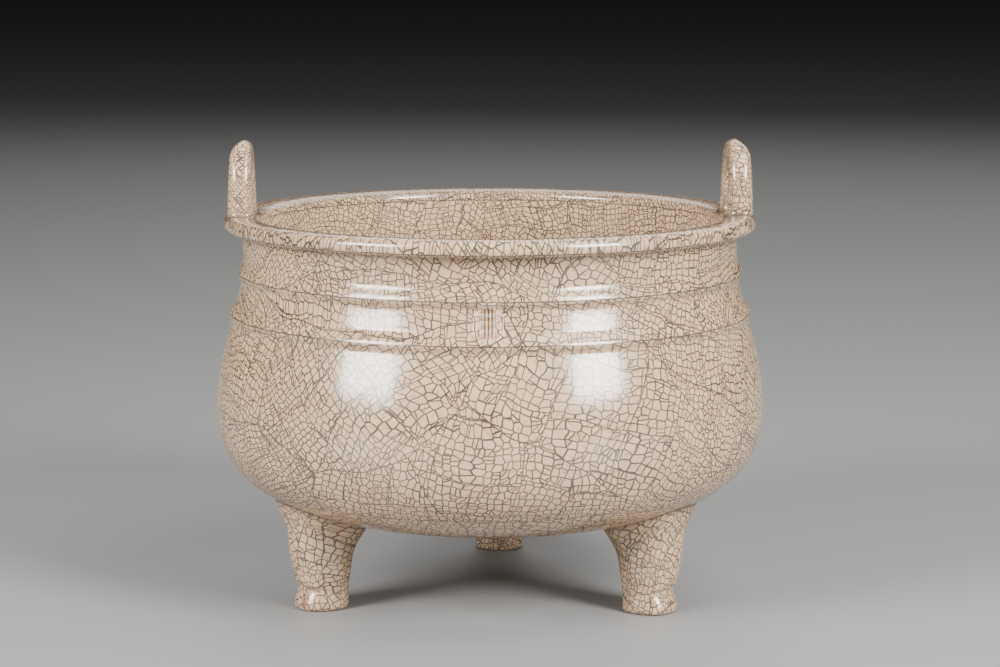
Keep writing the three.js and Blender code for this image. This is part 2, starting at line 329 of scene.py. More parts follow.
@dataclass(frozen=True)
class BowlForm:
    """Sizes of the bowl: heights from the floor, radii, wall, raised rings and lip, and the radii
    within which the underside and the inner floor are filled."""

    floor_gap: float = 25.6
    belly_level: float = 65.2
    lower_ring: float = 98.7
    upper_ring: float = 112.5
    neck_level: float = 118.5
    lip_level: float = 132.6
    belly_radius: float = 94.9
    neck_radius: float = 85.2
    lip_radius: float = 91.6
    wall: float = 5.0
    floor_thickness: float = 6.0
    fullness: float = 0.685
    steepness: float = 0.76
    shoulder_ease: float = 1.1
    ring_relief: float = 1.5
    ring_flare: float = 4.7
    ring_undercut: float = 3.1
    lip_thickness: float = 5.6
    lip_cove: float = 1.6
    lip_edge: float = 2.5
    lip_crown: float = 2.9
    lip_roll: float = 4.2
    underside_radius: float = 83.5
    floor_radius: float = 74.0

    @property
    def mouth_radius(self) -> float:
        """Radius of the mouth, inside the wall."""
        return self.neck_radius - self.wall

    def plain_radius(self, z: np.ndarray) -> np.ndarray:
        """Outside of the wall above the belly, without the raised rings."""
        share = np.clip((z - self.belly_level) / (self.neck_level - self.belly_level), 0, 1)
        return self.belly_radius - (self.belly_radius - self.neck_radius) * ease(share**self.shoulder_ease)

    def ring(self, z: np.ndarray, crest: float) -> np.ndarray:
        """What one raised ring adds to the wall's radius."""
        away = np.where(z > crest, (z - crest) / self.ring_flare, (crest - z) / self.ring_undercut)
        return np.where(away < 1, self.ring_relief * 0.5 * (1 + np.cos(math.pi * away)), 0.0)

    def belly(self, wall: float, floor: float, count: int) -> np.ndarray:
        """Section of the rounded underside, from the axis out, offset inwards by a wall.

        Args:
            wall: How far it stays inside the outer radius.
            floor: How far it stays above the outer underside.
            count: How many points to return.

        Returns:
            The section's points, radius and height.
        """
        rise = self.belly_level - self.floor_gap - floor
        radius = self.belly_radius - wall
        low = self.belly_level - rise
        full = (radius * self.fullness, low)
        steep = (radius, self.belly_level - rise * self.steepness)
        return bezier([(0, low), full, steep, (radius, self.belly_level)], count)

    def section(self) -> np.ndarray:
        """The whole section, from the axis outside to the axis inside, in fine steps.

        Returns:
            Its points, radius and height.
        """
        under = self.lip_level - self.lip_thickness
        edge, neck, mouth = self.lip_radius, self.neck_radius, self.mouth_radius
        wall_z = np.linspace(self.belly_level, self.neck_level, 900)
        rings = self.ring(wall_z, self.lower_ring) + self.ring(wall_z, self.upper_ring)
        wall_r = self.plain_radius(wall_z) + rings
        inner_z = np.linspace(self.neck_level, self.belly_level, 300)
        top = self.lip_level
        parts = [
            self.belly(0, 0, 700),
            np.stack([wall_r, wall_z], axis=1),
            bezier([(neck, under - self.lip_cove), (neck, under), (neck + self.lip_cove, under)], 60),
            bezier([(edge - self.lip_edge, under), (edge, under), (edge, under + self.lip_edge)], 60),
            bezier([(edge, top - self.lip_crown), (edge, top), (edge - self.lip_roll, top)], 80),
            bezier([(edge - self.lip_roll, top), (mouth, top), (mouth, top - self.lip_crown)], 80),
            np.stack([self.plain_radius(inner_z) - self.wall, inner_z], axis=1),
            self.belly(self.wall, self.floor_thickness, 600)[::-1],
        ]
        line = np.concatenate(parts)
        keep = np.concatenate([[True], np.linalg.norm(np.diff(line, axis=0), axis=1) > 1e-6])
        return resample(line[keep], 0.04)


class Turned:
    """A section turned around the axis, read by the distance along it."""

    def __init__(self, section: np.ndarray, chart_radius: float) -> None:
        """Measures the section.

        Args:
            section: Its points, radius and height, in fine steps.
            chart_radius: The radius at which the wall's chart is true to scale.
        """
        self.line = section
        self.chart_radius = chart_radius
        step = np.linalg.norm(np.diff(section, axis=0), axis=1)
        self.along = np.concatenate([[0.0], np.cumsum(step)])
        grow = chart_radius / np.maximum((section[1:, 0] + section[:-1, 0]) / 2, 20.0)
        self.scaled = np.concatenate([[0.0], np.cumsum(step * grow)])

    @property
    def length(self) -> float:
        """Length of the whole section."""
        return float(self.along[-1])

    def at(self, s: np.ndarray) -> tuple[np.ndarray, np.ndarray]:
        """Radius and height at distances along the section."""
        return np.interp(s, self.along, self.line[:, 0]), np.interp(s, self.along, self.line[:, 1])

    def point(self, angle: np.ndarray, s: np.ndarray, out: np.ndarray | float = 0.0) -> np.ndarray:
        """Points in space.

        Args:
            angle: Angles around the axis, from +X.
            s: Distances along the section.
            out: What is added to the radius.

        Returns:
            The points, with 3 as the last axis.
        """
        radius, height = self.at(s)
        radius = radius + out
        return np.stack([radius * np.cos(angle), radius * np.sin(angle), height + 0 * angle], axis=-1)

    def chart_height(self, s: np.ndarray) -> np.ndarray:
        """The wall chart's height: it grows faster where the radius is small, so cells keep their shape."""
        return np.interp(s, self.along, self.scaled)

    def find(self, target: float, low: float, high: float, axis: int) -> float:
        """Distance along the section, between two others, where the radius or height is nearest a target."""
        between = (self.along >= low) & (self.along <= high)
        miss = np.abs(self.line[between, axis] - target)
        return float(self.along[between][np.argmin(miss)])

    def rows(self, low: float, high: float, turn: float, most: float) -> np.ndarray:
        """Distances at which to sample the section: closer where it bends more.

        Args:
            low: The first distance.
            high: The last distance.
            turn: The largest turn from row to row, in radians.
            most: The largest step from row to row.

        Returns:
            The distances.
        """
        direction = np.diff(self.line, axis=0)
        heading = np.unwrap(np.arctan2(direction[:, 1], direction[:, 0]))
        bend = np.abs(np.diff(heading, prepend=heading[0])) / np.maximum(np.diff(self.along), 1e-9)
        width = 13
        bend = np.convolve(bend, np.ones(width) / width, mode="same")
        density = np.maximum(1 / most, bend / turn)
        density = np.convolve(density, np.ones(41) / 41, mode="same")
        inner = (self.along[1:] > low) & (self.along[1:] <= high)
        total = np.concatenate([[0.0], np.cumsum((density * np.diff(self.along))[inner])])
        spots = np.concatenate([[low], self.along[1:][inner]])
        wanted = np.linspace(0, total[-1], int(math.ceil(total[-1])) + 1)
        return np.interp(wanted, total, spots)


@dataclass(frozen=True)
class Relief:
    """The small relief between the raised rings: a pad with lugs and reeds along its middle."""

    width: float = 9.5
    neck: float = 4.8
    lugs: float = 0.38
    height: float = 0.75
    flank: float = 1.0
    turn: float = -2.15
    reed_count: int = 4
    reed_pitch: float = 1.15
    reed_relief: float = 0.45
    reed_length: float = 9.6
    notches: int = 4
    notch_depth: float = 0.6

    def rise(self, across: np.ndarray, up: np.ndarray, band: float) -> np.ndarray:
        """How far the wall stands out.

        Args:
            across: Sideways distance from the relief's middle.
            up: Distance up the wall from it.
            band: Distance between the crests of the raised rings.

        Returns:
            The rise at each place.
        """
        share = np.abs(up) / (band / 2)
        spread = 1 - ease((share - self.lugs) / self.lugs)
        half = self.neck / 2 + (self.width - self.neck) / 2 * spread
        slope = (half - np.abs(across)) / self.flank
        pad = self.height * np.clip(slope, 0, 1) * ease((1 - share) / 0.08)
        reed_half = self.reed_count * self.reed_pitch / 2
        on = (np.abs(across) < reed_half) & (np.abs(up) < self.reed_length / 2)
        wave = -np.cos(2 * math.pi * across / self.reed_pitch)
        notch = np.cos(2 * math.pi * self.notches * up / self.reed_length)
        return pad + np.where(on, self.reed_relief * (wave - self.notch_depth * (1 - notch) / 2), 0.0)


class Bowl:
    """The turned bowl: wall, lip and inside as one grid, with the underside and the floor filled in."""

    def __init__(self, form: BowlForm, relief: Relief) -> None:
        """Finds the places along the section that the other parts are tied to.

        Args:
            form: The bowl's sizes.
            relief: The relief on its front.
        """
        self.form = form
        self.relief = relief
        self.turned = Turned(form.section(), 90.0)
        t = self.turned
        self.s_under = t.find(form.underside_radius, 0, t.length * 0.35, 0)
        self.s_belly = t.find(form.belly_level, 0, t.length * 0.45, 1)
        self.s_top = t.find(form.lip_level, t.length * 0.3, t.length * 0.75, 1)
        self.s_lower = t.find(form.lower_ring, self.s_belly, self.s_top, 1)
        self.s_upper = t.find(form.upper_ring, self.s_belly, self.s_top, 1)
        self.s_neck = t.find(form.lip_level - form.lip_thickness, self.s_belly, self.s_top, 1)
        self.s_mouth = t.find(form.lip_level - form.lip_crown, self.s_top, t.length, 1)
        self.s_inside = t.find(form.floor_radius, self.s_mouth + 40, t.length, 0)
        self.relief_angle = math.radians(-90.0 + relief.turn)

    def columns(self) -> np.ndarray:
        """Angles of the grid's columns, from the back all the way round, closer at the relief.

        Returns:
            The angles, rising.
        """
        fine = 6.2 / 89.0
        middle = np.linspace(self.relief_angle - fine, self.relief_angle + fine, 63)
        left = np.linspace(-1.5 * math.pi, middle[0], 130)[:-1]
        right = np.linspace(middle[-1], 0.5 * math.pi, 130)[1:]
        return np.concatenate([left, middle, right])

    def levels(self) -> np.ndarray:
        """Distances along the section of the grid's rows.

        Returns:
            The distances, rising.
        """
        t = self.turned
        parts = [
            t.rows(self.s_under, self.s_lower, 0.14, 2.6),
            t.rows(self.s_lower, self.s_upper, 0.12, 0.42)[1:],
            t.rows(self.s_upper, self.s_mouth + 3.0, 0.14, 1.2)[1:],
            t.rows(self.s_mouth + 3.0, self.s_inside, 0.14, 3.4)[1:],
        ]
        return np.concatenate(parts)

    def build(self, skin: Skin, windows: Sequence[Window], footprints: Sequence[np.ndarray]) -> None:
        """Adds the bowl to the skin.

        Args:
            skin: The surface being gathered.
            windows: The parts of the lip that are filled around the ears.
            footprints: The feet's lines on the underside, in its own chart.
        """
        t = self.turned
        s, angle = self.levels(), self.columns()
        start = angle[0]
        closed = np.append(angle, start + 2 * math.pi)
        grid_angle = np.tile(closed, (len(s), 1))
        back = 1 - ease(np.minimum(closed - closed[0], closed[-1] - closed) / 0.5)
        wander = waves(s / 40.0, (1, 2, 5), 11) * 0.03
        grid_angle += wander[:, None] * back[None]
        grid_s = np.tile(s[:, None], (1, len(closed)))
        low = 1 - ease((s - s[0]) / 24.0)
        high = 1 - ease((s[-1] - s) / 20.0)
        grid_s = grid_s + low[:, None] * self.wander(grid_angle) - high[:, None] * self.wander(grid_angle)
        _, height = t.at(grid_s)
        middle = (self.form.lower_ring + self.form.upper_ring) / 2
        across = (grid_angle - self.relief_angle) * self.form.plain_radius(np.array(middle))
        band = self.form.upper_ring - self.form.lower_ring
        outside = (grid_s > self.s_lower) & (grid_s < self.s_upper)
        out = np.where(outside, self.relief.rise(across, height - middle, band), 0.0)
        points = t.point(grid_angle, grid_s, out)
        chart = np.stack([(grid_angle + math.pi / 2) * t.chart_radius, t.chart_height(grid_s)], axis=-1)
        patch = Patch.grid(points[:, :-1], chart[:, :-1], chart[:, -1])
        self.cut(patch, windows, s, angle)
        skin.add(patch)
        skin.line(points[:, 0])
        for window in windows:
            window.build(skin, self, s, angle)
        self.disc(skin, grid_angle[0, :-1], grid_s[0, :-1], footprints, False)
        self.disc(skin, grid_angle[-1, :-1], grid_s[-1, :-1], [], True)

    @staticmethod
    def wander(angle: np.ndarray) -> np.ndarray:
        """How far the lowest crack of the wall strays up and down around the belly."""
        return 2.6 * waves(angle, (2, 3, 7, 11), 5)

    @staticmethod
    def cut(patch: Patch, windows: Sequence[Window], s: np.ndarray, angle: np.ndarray) -> None:
        """Takes the faces behind the windows out of the grid.

        Args:
            patch: The grid's patch, changed in place.
            windows: The windows.
            s: The grid's rows.
            angle: The grid's columns.
        """
        around = len(angle)
        row = np.arange(len(patch.faces)) // around
        column = np.arange(len(patch.faces)) % around
        gone = np.zeros(len(patch.faces), bool)
        for window in windows:
            first, last, left, right = window.span(s, angle)
            gone |= (row >= first) & (row < last) & (column >= left) & (column < right)
        patch.faces = [face for face, out in zip(patch.faces, gone) if not out]
        patch.chart = [spots for spots, out in zip(patch.chart, gone) if not out]

    def disc(
        self, skin: Skin, angle: np.ndarray, s: np.ndarray, holes: Sequence[np.ndarray], floor: bool
    ) -> None:
        """Fills the underside or the inner floor.

        Args:
            skin: The surface being gathered.
            angle: The edge's angles.
            s: The edge's distances along the section.
            holes: Lines left open, in the disc's chart.
            floor: Whether this is the inner floor, which is read from the section's other end.
        """
        t = self.turned
        reach = t.length - s if floor else s
        outline = np.stack([reach * np.cos(angle), reach * np.sin(angle)], axis=1)
        step = 3.0 if floor else 2.5
        rings = [np.zeros((1, 2))]
        for k in range(1, int(reach.max() / step) + 1):
            count = max(6, int(2 * math.pi * k))
            turn = np.linspace(0, 2 * math.pi, count, endpoint=False) + 0.37 * k
            rings.append(np.stack([k * step * np.cos(turn), k * step * np.sin(turn)], axis=1))
        inner = np.concatenate(rings)
        inner = inner[gap_to(outline, inner) > step * 0.5]
        flat, triangles = fill(outline, holes, inner)
        far = np.hypot(flat[:, 0], flat[:, 1])
        turn = np.arctan2(flat[:, 1], flat[:, 0])
        points = t.point(turn, t.length - far if floor else far)
        order = triangles if floor else triangles[:, ::-1]
        shift = (0.0, FLOOR_CHART if floor else UNDERSIDE_CHART)
        skin.add(Patch(points, list(map(tuple, order.tolist())), list(flat[order] + shift)))
        skin.line(np.concatenate([points[: len(outline)], points[:1]]))


@dataclass
class Window:
    """A part of the lip that is filled around the two posts of an ear."""

    middle: float
    half_angle: float
    s_low: float
    s_high: float
    footprints: list[np.ndarray]

    def span(self, s: np.ndarray, angle: np.ndarray) -> tuple[int, int, int, int]:
        """First and last row, and first and last column, of the window in the bowl's grid.

        Args:
            s: The grid's rows.
            angle: The grid's columns.

        Returns:
            The four numbers.
        """
        first = int(np.searchsorted(s, self.s_low))
        last = int(np.searchsorted(s, self.s_high))
        middle = self.middle
        left = int(np.searchsorted(angle, middle - self.half_angle))
        right = int(np.searchsorted(angle, middle + self.half_angle))
        return first, last, left, right

    def build(self, skin: Skin, bowl: Bowl, s: np.ndarray, angle: np.ndarray) -> None:
        """Adds the window's fill to the skin.

        Args:
            skin: The surface being gathered.
            bowl: The bowl that it is part of.
            s: The grid's rows.
            angle: The grid's columns.
        """
        first, last, left, right = self.span(s, angle)
        rows, columns = s[first : last + 1], angle[left : right + 1]
        flat_x = (columns - self.middle) * LIP_RADIUS
        bottom = np.stack([flat_x, np.full(len(flat_x), rows[0])], axis=1)
        top = np.stack([flat_x[::-1], np.full(len(flat_x), rows[-1])], axis=1)
        rise = np.stack([np.full(len(rows), flat_x[-1]), rows], axis=1)
        fall = np.stack([np.full(len(rows), flat_x[0]), rows[::-1]], axis=1)
        outline = np.concatenate([bottom[:-1], rise[:-1], top[:-1], fall[:-1]])
        fine_x = np.linspace(flat_x[0], flat_x[-1], int((flat_x[-1] - flat_x[0]) / 0.8))
        fine_s = bowl.turned.rows(rows[0], rows[-1], 0.2, 0.8)
        inner = np.stack(np.meshgrid(fine_x, fine_s), axis=-1).reshape(-1, 2)
        inner = inner + (np.random.default_rng(3).uniform(-0.06, 0.06, inner.shape))
        flat, triangles = fill(outline, self.footprints, inner)
        turn = flat[:, 0] / LIP_RADIUS + self.middle
        points = bowl.turned.point(turn, flat[:, 1])
        height = bowl.turned.chart_height(flat[:, 1])
        chart = np.stack([(turn + math.pi / 2) * bowl.turned.chart_radius, height], axis=1)
        skin.add(Patch(points, list(map(tuple, triangles.tolist())), list(chart[triangles])))


def points_at(columns: np.ndarray, hit: np.ndarray) -> np.ndarray:
    """The point of each column at its own place along it, the place counted in points."""
    steps = np.arange(columns.shape[1])
    return np.array([[np.interp(h, steps, c[:, k]) for k in range(3)] for h, c in zip(hit, columns)])


def landed(columns: np.ndarray, hit: np.ndarray, landing: np.ndarray, reach: float, steps: int) -> np.ndarray:
    """Bends the columns of a limb into the surface that it stands on.

    Args:
        columns: The limb's points: columns, points along each, and 3, each ending past the surface.
        hit: Where each column meets the surface, as a share of the way along its points.
        landing: Where each column is to end on the surface.
        reach: How far before the surface the bend begins.
        steps: How many rows the bend gets.

    Returns:
        The columns again, all with the same count, ending on the landing points.
    """
    count = columns.shape[1]
    result = []
    bend = np.linspace(0, 1, steps + 1)[:, None]
    for line, end, goal in zip(columns, hit, landing):
        at = np.linspace(0, count - 1, 6 * count)
        fine = np.stack([np.interp(at, np.arange(count), line[:, k]) for k in range(3)], axis=1)
        along = np.concatenate([[0.0], np.cumsum(np.linalg.norm(np.diff(fine, axis=0), axis=1))])
        stop = float(np.interp(end, at, along))
        before = stop - reach
        own = np.interp(np.arange(count), at, along)
        spread = own / own[-1] * before
        body = np.stack([np.interp(spread, along, fine[:, k]) for k in range(3)], axis=1)
        corner = np.array([np.interp(stop, along, fine[:, k]) for k in range(3)])
        last = body[-1]
        curve = (1 - bend) ** 2 * last + 2 * bend * (1 - bend) * corner + bend**2 * goal
        result.append(np.concatenate([body, curve[1:]]))
    return np.array(result)


@dataclass(frozen=True)
class FootForm:
    """Sizes of one foot, standing along +X: its sections are shares of the calf's half size."""

    count: int = 3
    circle: float = 64.6
    turn: float = -4.8
    depth: float = 18.9
    width: float = 19.6
    squareness: float = 2.4
    around: int = 72
    fillet: float = 0.7
    heights: tuple[float, ...] = (
        0, 0.018, 0.05, 0.105, 0.185, 0.225, 0.28, 0.366, 0.56, 0.66, 0.745, 0.86, 1.0
    )
    outer: tuple[float, ...] = (0.8, 0.94, 0.96, 0.88, 0.74, 0.88, 0.965, 1.02, 1.16, 1.17, 1.29, 1.5, 1.66)
    inner: tuple[float, ...] = (0.8, 0.9, 0.93, 0.93, 0.93, 0.94, 0.945, 0.98, 1.07, 1.16, 1.31, 1.55, 1.8)
    side: tuple[float, ...] = (0.76, 0.86, 0.9, 0.89, 0.86, 0.9, 0.93, 1.0, 1.08, 1.13, 1.22, 1.42, 1.66)


class Foot:
    """One foot: smooth columns from the sole up, ending in a fillet on the bowl's underside."""

    def __init__(self, form: FootForm, bowl: Bowl) -> None:
        """Shapes the foot.

        Args:
            form: Its sizes.
            bowl: The bowl that it carries.
        """
        self.form = form
        self.bowl = bowl
        turn = -math.pi + 2 * math.pi * np.arange(form.around) / form.around
        power = 2 / form.squareness
        cos = np.sign(np.cos(turn)) * np.abs(np.cos(turn)) ** power
        sin = np.sign(np.sin(turn)) * np.abs(np.sin(turn)) ** power
        ahead = (1 + np.tanh(2.5 * np.cos(turn))) / 2
        at = np.concatenate([np.linspace(0, 1, 5)[:-1], np.linspace(1, 12, 67)])
        outer, inner = smooth_through(form.outer, at), smooth_through(form.inner, at)
        side, height = smooth_through(form.side, at), smooth_through(form.heights, at)
        height[:5] = form.heights[1] * (1 - np.cos(np.linspace(0, math.pi / 2, 5)))
        rim = form.outer[0] + (form.outer[1] - form.outer[0]) * np.sin(np.linspace(0, math.pi / 2, 5))
        outer[:5] = rim
        reach = ahead[:, None] * outer[None] + (1 - ahead)[:, None] * inner[None]
        x = form.circle + cos[:, None] * reach * form.depth / 2
        y = sin[:, None] * side[None] * form.width / 2
        top = self.under(np.hypot(x[:, -1], y[:, -1])) + bowl.form.wall / 2
        z = height[None] * top[:, None]
        columns = np.stack([x, y, z], axis=-1)
        above = z - self.under(np.hypot(x, y))
        hit = np.array([np.interp(0, line[20:], np.arange(20, len(at))) for line in above])
        spot = points_at(columns, hit)
        radius = np.hypot(spot[:, 0], spot[:, 1])
        far = np.interp(radius, bowl.turned.line[:2000, 0], bowl.turned.along[:2000])
        flat = spot[:, :2] / radius[:, None] * far[:, None]
        middle = flat.mean(axis=0)
        out = flat - middle
        self.footprint = flat + out / np.linalg.norm(out, axis=1)[:, None] * form.fillet
        distance = np.hypot(*self.footprint.T)
        landing = bowl.turned.point(np.arctan2(self.footprint[:, 1], self.footprint[:, 0]), distance)
        self.columns = landed(columns, hit, landing, form.fillet, 6)

    def under(self, radius: np.ndarray) -> np.ndarray:
        """Height of the bowl's underside at a distance from the axis."""
        line = self.bowl.turned.line[: int(len(self.bowl.turned.line) * 0.4)]
        top = int(np.argmax(line[:, 0]))
        return np.interp(radius, line[:top, 0], line[:top, 1])

    def footprints(self) -> list[np.ndarray]:
        """The lines of all feet on the underside, in its chart.

        Returns:
            One closed line for each foot.
        """
        result = []
        for i in range(self.form.count):
            turn = math.radians(90 + self.form.turn + 360 / self.form.count * i)
            cos, sin = math.cos(turn), math.sin(turn)
            result.append(self.footprint @ np.array([[cos, sin], [-sin, cos]]))
        return result

    def build(self, skin: Skin) -> None:
        """Adds one foot, along +X, to a skin of its own.

        Args:
            skin: The foot's own skin.
        """
        columns = self.columns
        along = np.linalg.norm(np.diff(columns, axis=1), axis=2).mean(axis=0)
        up = np.concatenate([[0.0], np.cumsum(along)])
        around = np.arange(self.form.around + 1) / self.form.around * 66.0
        points = columns.transpose(1, 0, 2)
        chart = np.stack(np.meshgrid(around, up + FOOT_CHART), axis=-1)
        skin.add(Patch.grid(points, chart[:, :-1], chart[:, -1]))
        sole = points[0]
        middle = sole.mean(axis=0)
        flat = sole[:, :2] + (0.0, SOLE_CHART)
        faces, spots = [], []
        hub = middle[:2] + (0.0, SOLE_CHART)
        for i in range(len(sole)):
            j = (i + 1) % len(sole)
            faces.append((j, i, len(sole)))
            spots.append(np.stack([flat[j], flat[i], hub]))
        skin.add(Patch(np.concatenate([sole, middle[None]]), faces, spots))


@dataclass(frozen=True)
class EarForm:
    """Sizes of one loop ear at +X: an arch with an arched opening, leaning in a little."""

    rise: float = 24.9
    width: float = 29.4
    post: float = 8.6
    crown: float = 8.0
    setback: float = 1.3
    inset: float = 0.4
    taper: float = 1.1
    shoulder: float = 6.4
    nose: float = 3.2
    rounding: float = 2.3
    fullness: float = 0.58
    squareness: float = 2.6
    roundness: float = 2.2
    around: int = 56
    fillet: float = 1.0


class Ear:
    """One loop ear: rings swept over the arch, ending in a fillet on the lip at both posts."""

    def __init__(self, form: EarForm, bowl: Bowl) -> None:
        """Shapes the ear.

        Args:
            form: Its sizes.
            bowl: The bowl whose lip it stands on.
        """
        self.form = form
        self.bowl = bowl
        shape = bowl.form
        self.depth = shape.lip_radius - form.setback - (shape.mouth_radius + form.inset)
        self.middle = shape.lip_radius - form.setback - self.depth / 2
        outer, inner = self.face()
        turn = 2 * math.pi * np.arange(form.around) / form.around
        rings = np.array([self.ring(o, i, turn) for o, i in zip(outer, inner)])
        half = len(rings) // 2 + 1
        self.footprint_lines: list[np.ndarray] = []
        first = self.land(rings[:half][::-1].transpose(1, 0, 2))
        second = self.land(rings[half - 1 :].transpose(1, 0, 2))
        self.rings = np.concatenate([first.transpose(1, 0, 2)[::-1], second.transpose(1, 0, 2)[1:]])

    def face(self) -> tuple[np.ndarray, np.ndarray]:
        """Outer and inner line of the arch, as sideways place and height above the lip.

        Returns:
            The two lines, with the same count of points.
        """
        f = self.form
        half, top = f.width / 2 - f.rounding, f.rise - f.rounding
        spring = f.rise - f.width / 2
        lean = half * f.fullness
        arch = bezier([(half, spring), (half, top - half + lean), (lean, top), (0, top)], 26)
        heading = np.gradient(arch, axis=0)
        normal = np.stack([heading[:, 1], -heading[:, 0]], axis=1)
        arch = arch + f.rounding * normal / np.linalg.norm(normal, axis=1)[:, None]
        gap, gap_spring = f.width / 2 - f.post, f.rise - f.crown - (f.width / 2 - f.post)
        turn = np.linspace(0, math.pi / 2, 26)
        hole = np.stack([gap * np.cos(turn), gap_spring + gap * np.sin(turn)], axis=1)
        foot = -3.0
        post_z = np.linspace(foot, spring, 24)[:-1]
        share = np.linspace(0, 1, 24)[:-1]
        post = np.stack([np.full(23, f.width / 2), post_z], axis=1)
        gap_z = foot + (gap_spring - foot) * share
        inside_post = np.stack([np.full(23, gap), gap_z], axis=1)
        right_outer, right_inner = np.concatenate([post, arch]), np.concatenate([inside_post, hole])
        mirror = np.array([-1.0, 1.0])
        outer = np.concatenate([right_outer, right_outer[:-1][::-1] * mirror])
        inner = np.concatenate([right_inner, right_inner[:-1][::-1] * mirror])
        return outer, inner

    def faces_at(self, z: np.ndarray) -> tuple[np.ndarray, np.ndarray]:
        """How far the ear reaches out and in from its middle, at heights above the lip.

        Args:
            z: The heights.

        Returns:
            Its outer and its inner face.
        """
        f = self.form
        half = self.depth / 2
        top = half - f.taper
        lean = [(half, -8.0), (top, f.rise - f.shoulder)]
        peak = -top + f.nose
        shoulder = bezier([(top, f.rise - f.shoulder), (top, f.rise - f.nose / 2), (peak, f.rise)], 60)
        nose = bezier([(-top, f.rise - f.nose), (-top, f.rise), (peak, f.rise)], 60)
        out = np.concatenate([lean, shoulder[1:]])
        back = np.concatenate([[(-half, -8.0)], nose])
        return np.interp(z, out[:, 1], out[:, 0]), np.interp(z, back[:, 1], back[:, 0])

    def ring(self, outer: np.ndarray, inner: np.ndarray, turn: np.ndarray) -> np.ndarray:
        """One ring around the arch.

        Args:
            outer: The outer line's point.
            inner: The inner line's point.
            turn: The ring's angles, from facing out.

        Returns:
            The ring's points.
        """
        f = self.form
        span = outer - inner
        steep = abs(span[1]) / np.hypot(*span)
        facing = (1 + np.cos(turn)) / 2
        power = 2 / (f.squareness + (f.roundness - f.squareness) * facing + 3.0 * steep**2)
        depth = np.sign(np.cos(turn)) * np.abs(np.cos(turn)) ** power
        share = np.sign(np.sin(turn)) * np.abs(np.sin(turn)) ** power
        place = (outer + inner) / 2 + share[:, None] * span / 2
        out, back = self.faces_at(place[:, 1])
        x = self.middle + (out + back) / 2 + depth * (out - back) / 2
        return np.stack([x, place[:, 0], self.bowl.form.lip_level + place[:, 1]], axis=1)

    def land(self, columns: np.ndarray) -> np.ndarray:
        """Ends half of the ear on the lip.

        Args:
            columns: Its columns, each from the crown down through the lip.

        Returns:
            The columns ending on the lip's skin.
        """
        bowl, form = self.bowl, self.form
        t = bowl.turned
        window = (t.along > bowl.s_top - 9) & (t.along < bowl.s_top + 10)
        lip = t.line[window]
        s_lip = t.along[window]
        order = np.argsort(lip[:, 0])
        radius = np.hypot(columns[..., 0], columns[..., 1])
        height = np.interp(radius, lip[order, 0], self.upper(lip, order))
        below = height - columns[..., 2]
        count = columns.shape[1]
        hit = np.array([np.interp(0, line, np.arange(count)) for line in below])
        spot = points_at(columns, hit)
        top = lip[:, 1] > bowl.form.lip_level - bowl.form.lip_crown - 0.01
        order = np.argsort(lip[top, 0])
        s_spot = np.interp(np.hypot(spot[:, 0], spot[:, 1]), lip[top, 0][order], s_lip[top][order])
        flat = np.stack([np.arctan2(spot[:, 1], spot[:, 0]) * LIP_RADIUS, s_spot], axis=1)
        out = flat - flat.mean(axis=0)
        footprint = flat + out / np.linalg.norm(out, axis=1)[:, None] * form.fillet
        landing = t.point(footprint[:, 0] / LIP_RADIUS, footprint[:, 1])
        self.footprint_lines.append(footprint)
        return landed(columns, hit, landing, form.fillet + 0.4, 6)

    def upper(self, lip: np.ndarray, order: np.ndarray) -> np.ndarray:
        """Heights of the lip's upper skin, in order of radius."""
        low = self.bowl.form.lip_level - self.bowl.form.lip_crown - 0.01
        upper = np.where(lip[:, 1] > low, lip[:, 1], low)
        return upper[order]

    def build(self, skin: Skin) -> None:
        """Adds one ear, at +X, to a skin of its own.

        Args:
            skin: The ear's own skin.
        """
        rings = self.rings
        along = np.linalg.norm(np.diff(rings, axis=0), axis=2).mean(axis=1)
        up = np.concatenate([[0.0], np.cumsum(along)])
        size = np.linalg.norm(np.diff(rings[len(rings) // 4], axis=0), axis=1).sum()
        around = np.arange(self.form.around + 1) / self.form.around * size
        chart = np.stack(np.meshgrid(around, up + EAR_CHART), axis=-1)
        skin.add(Patch.grid(rings[:, ::-1], chart[:, :-1], chart[:, -1]))


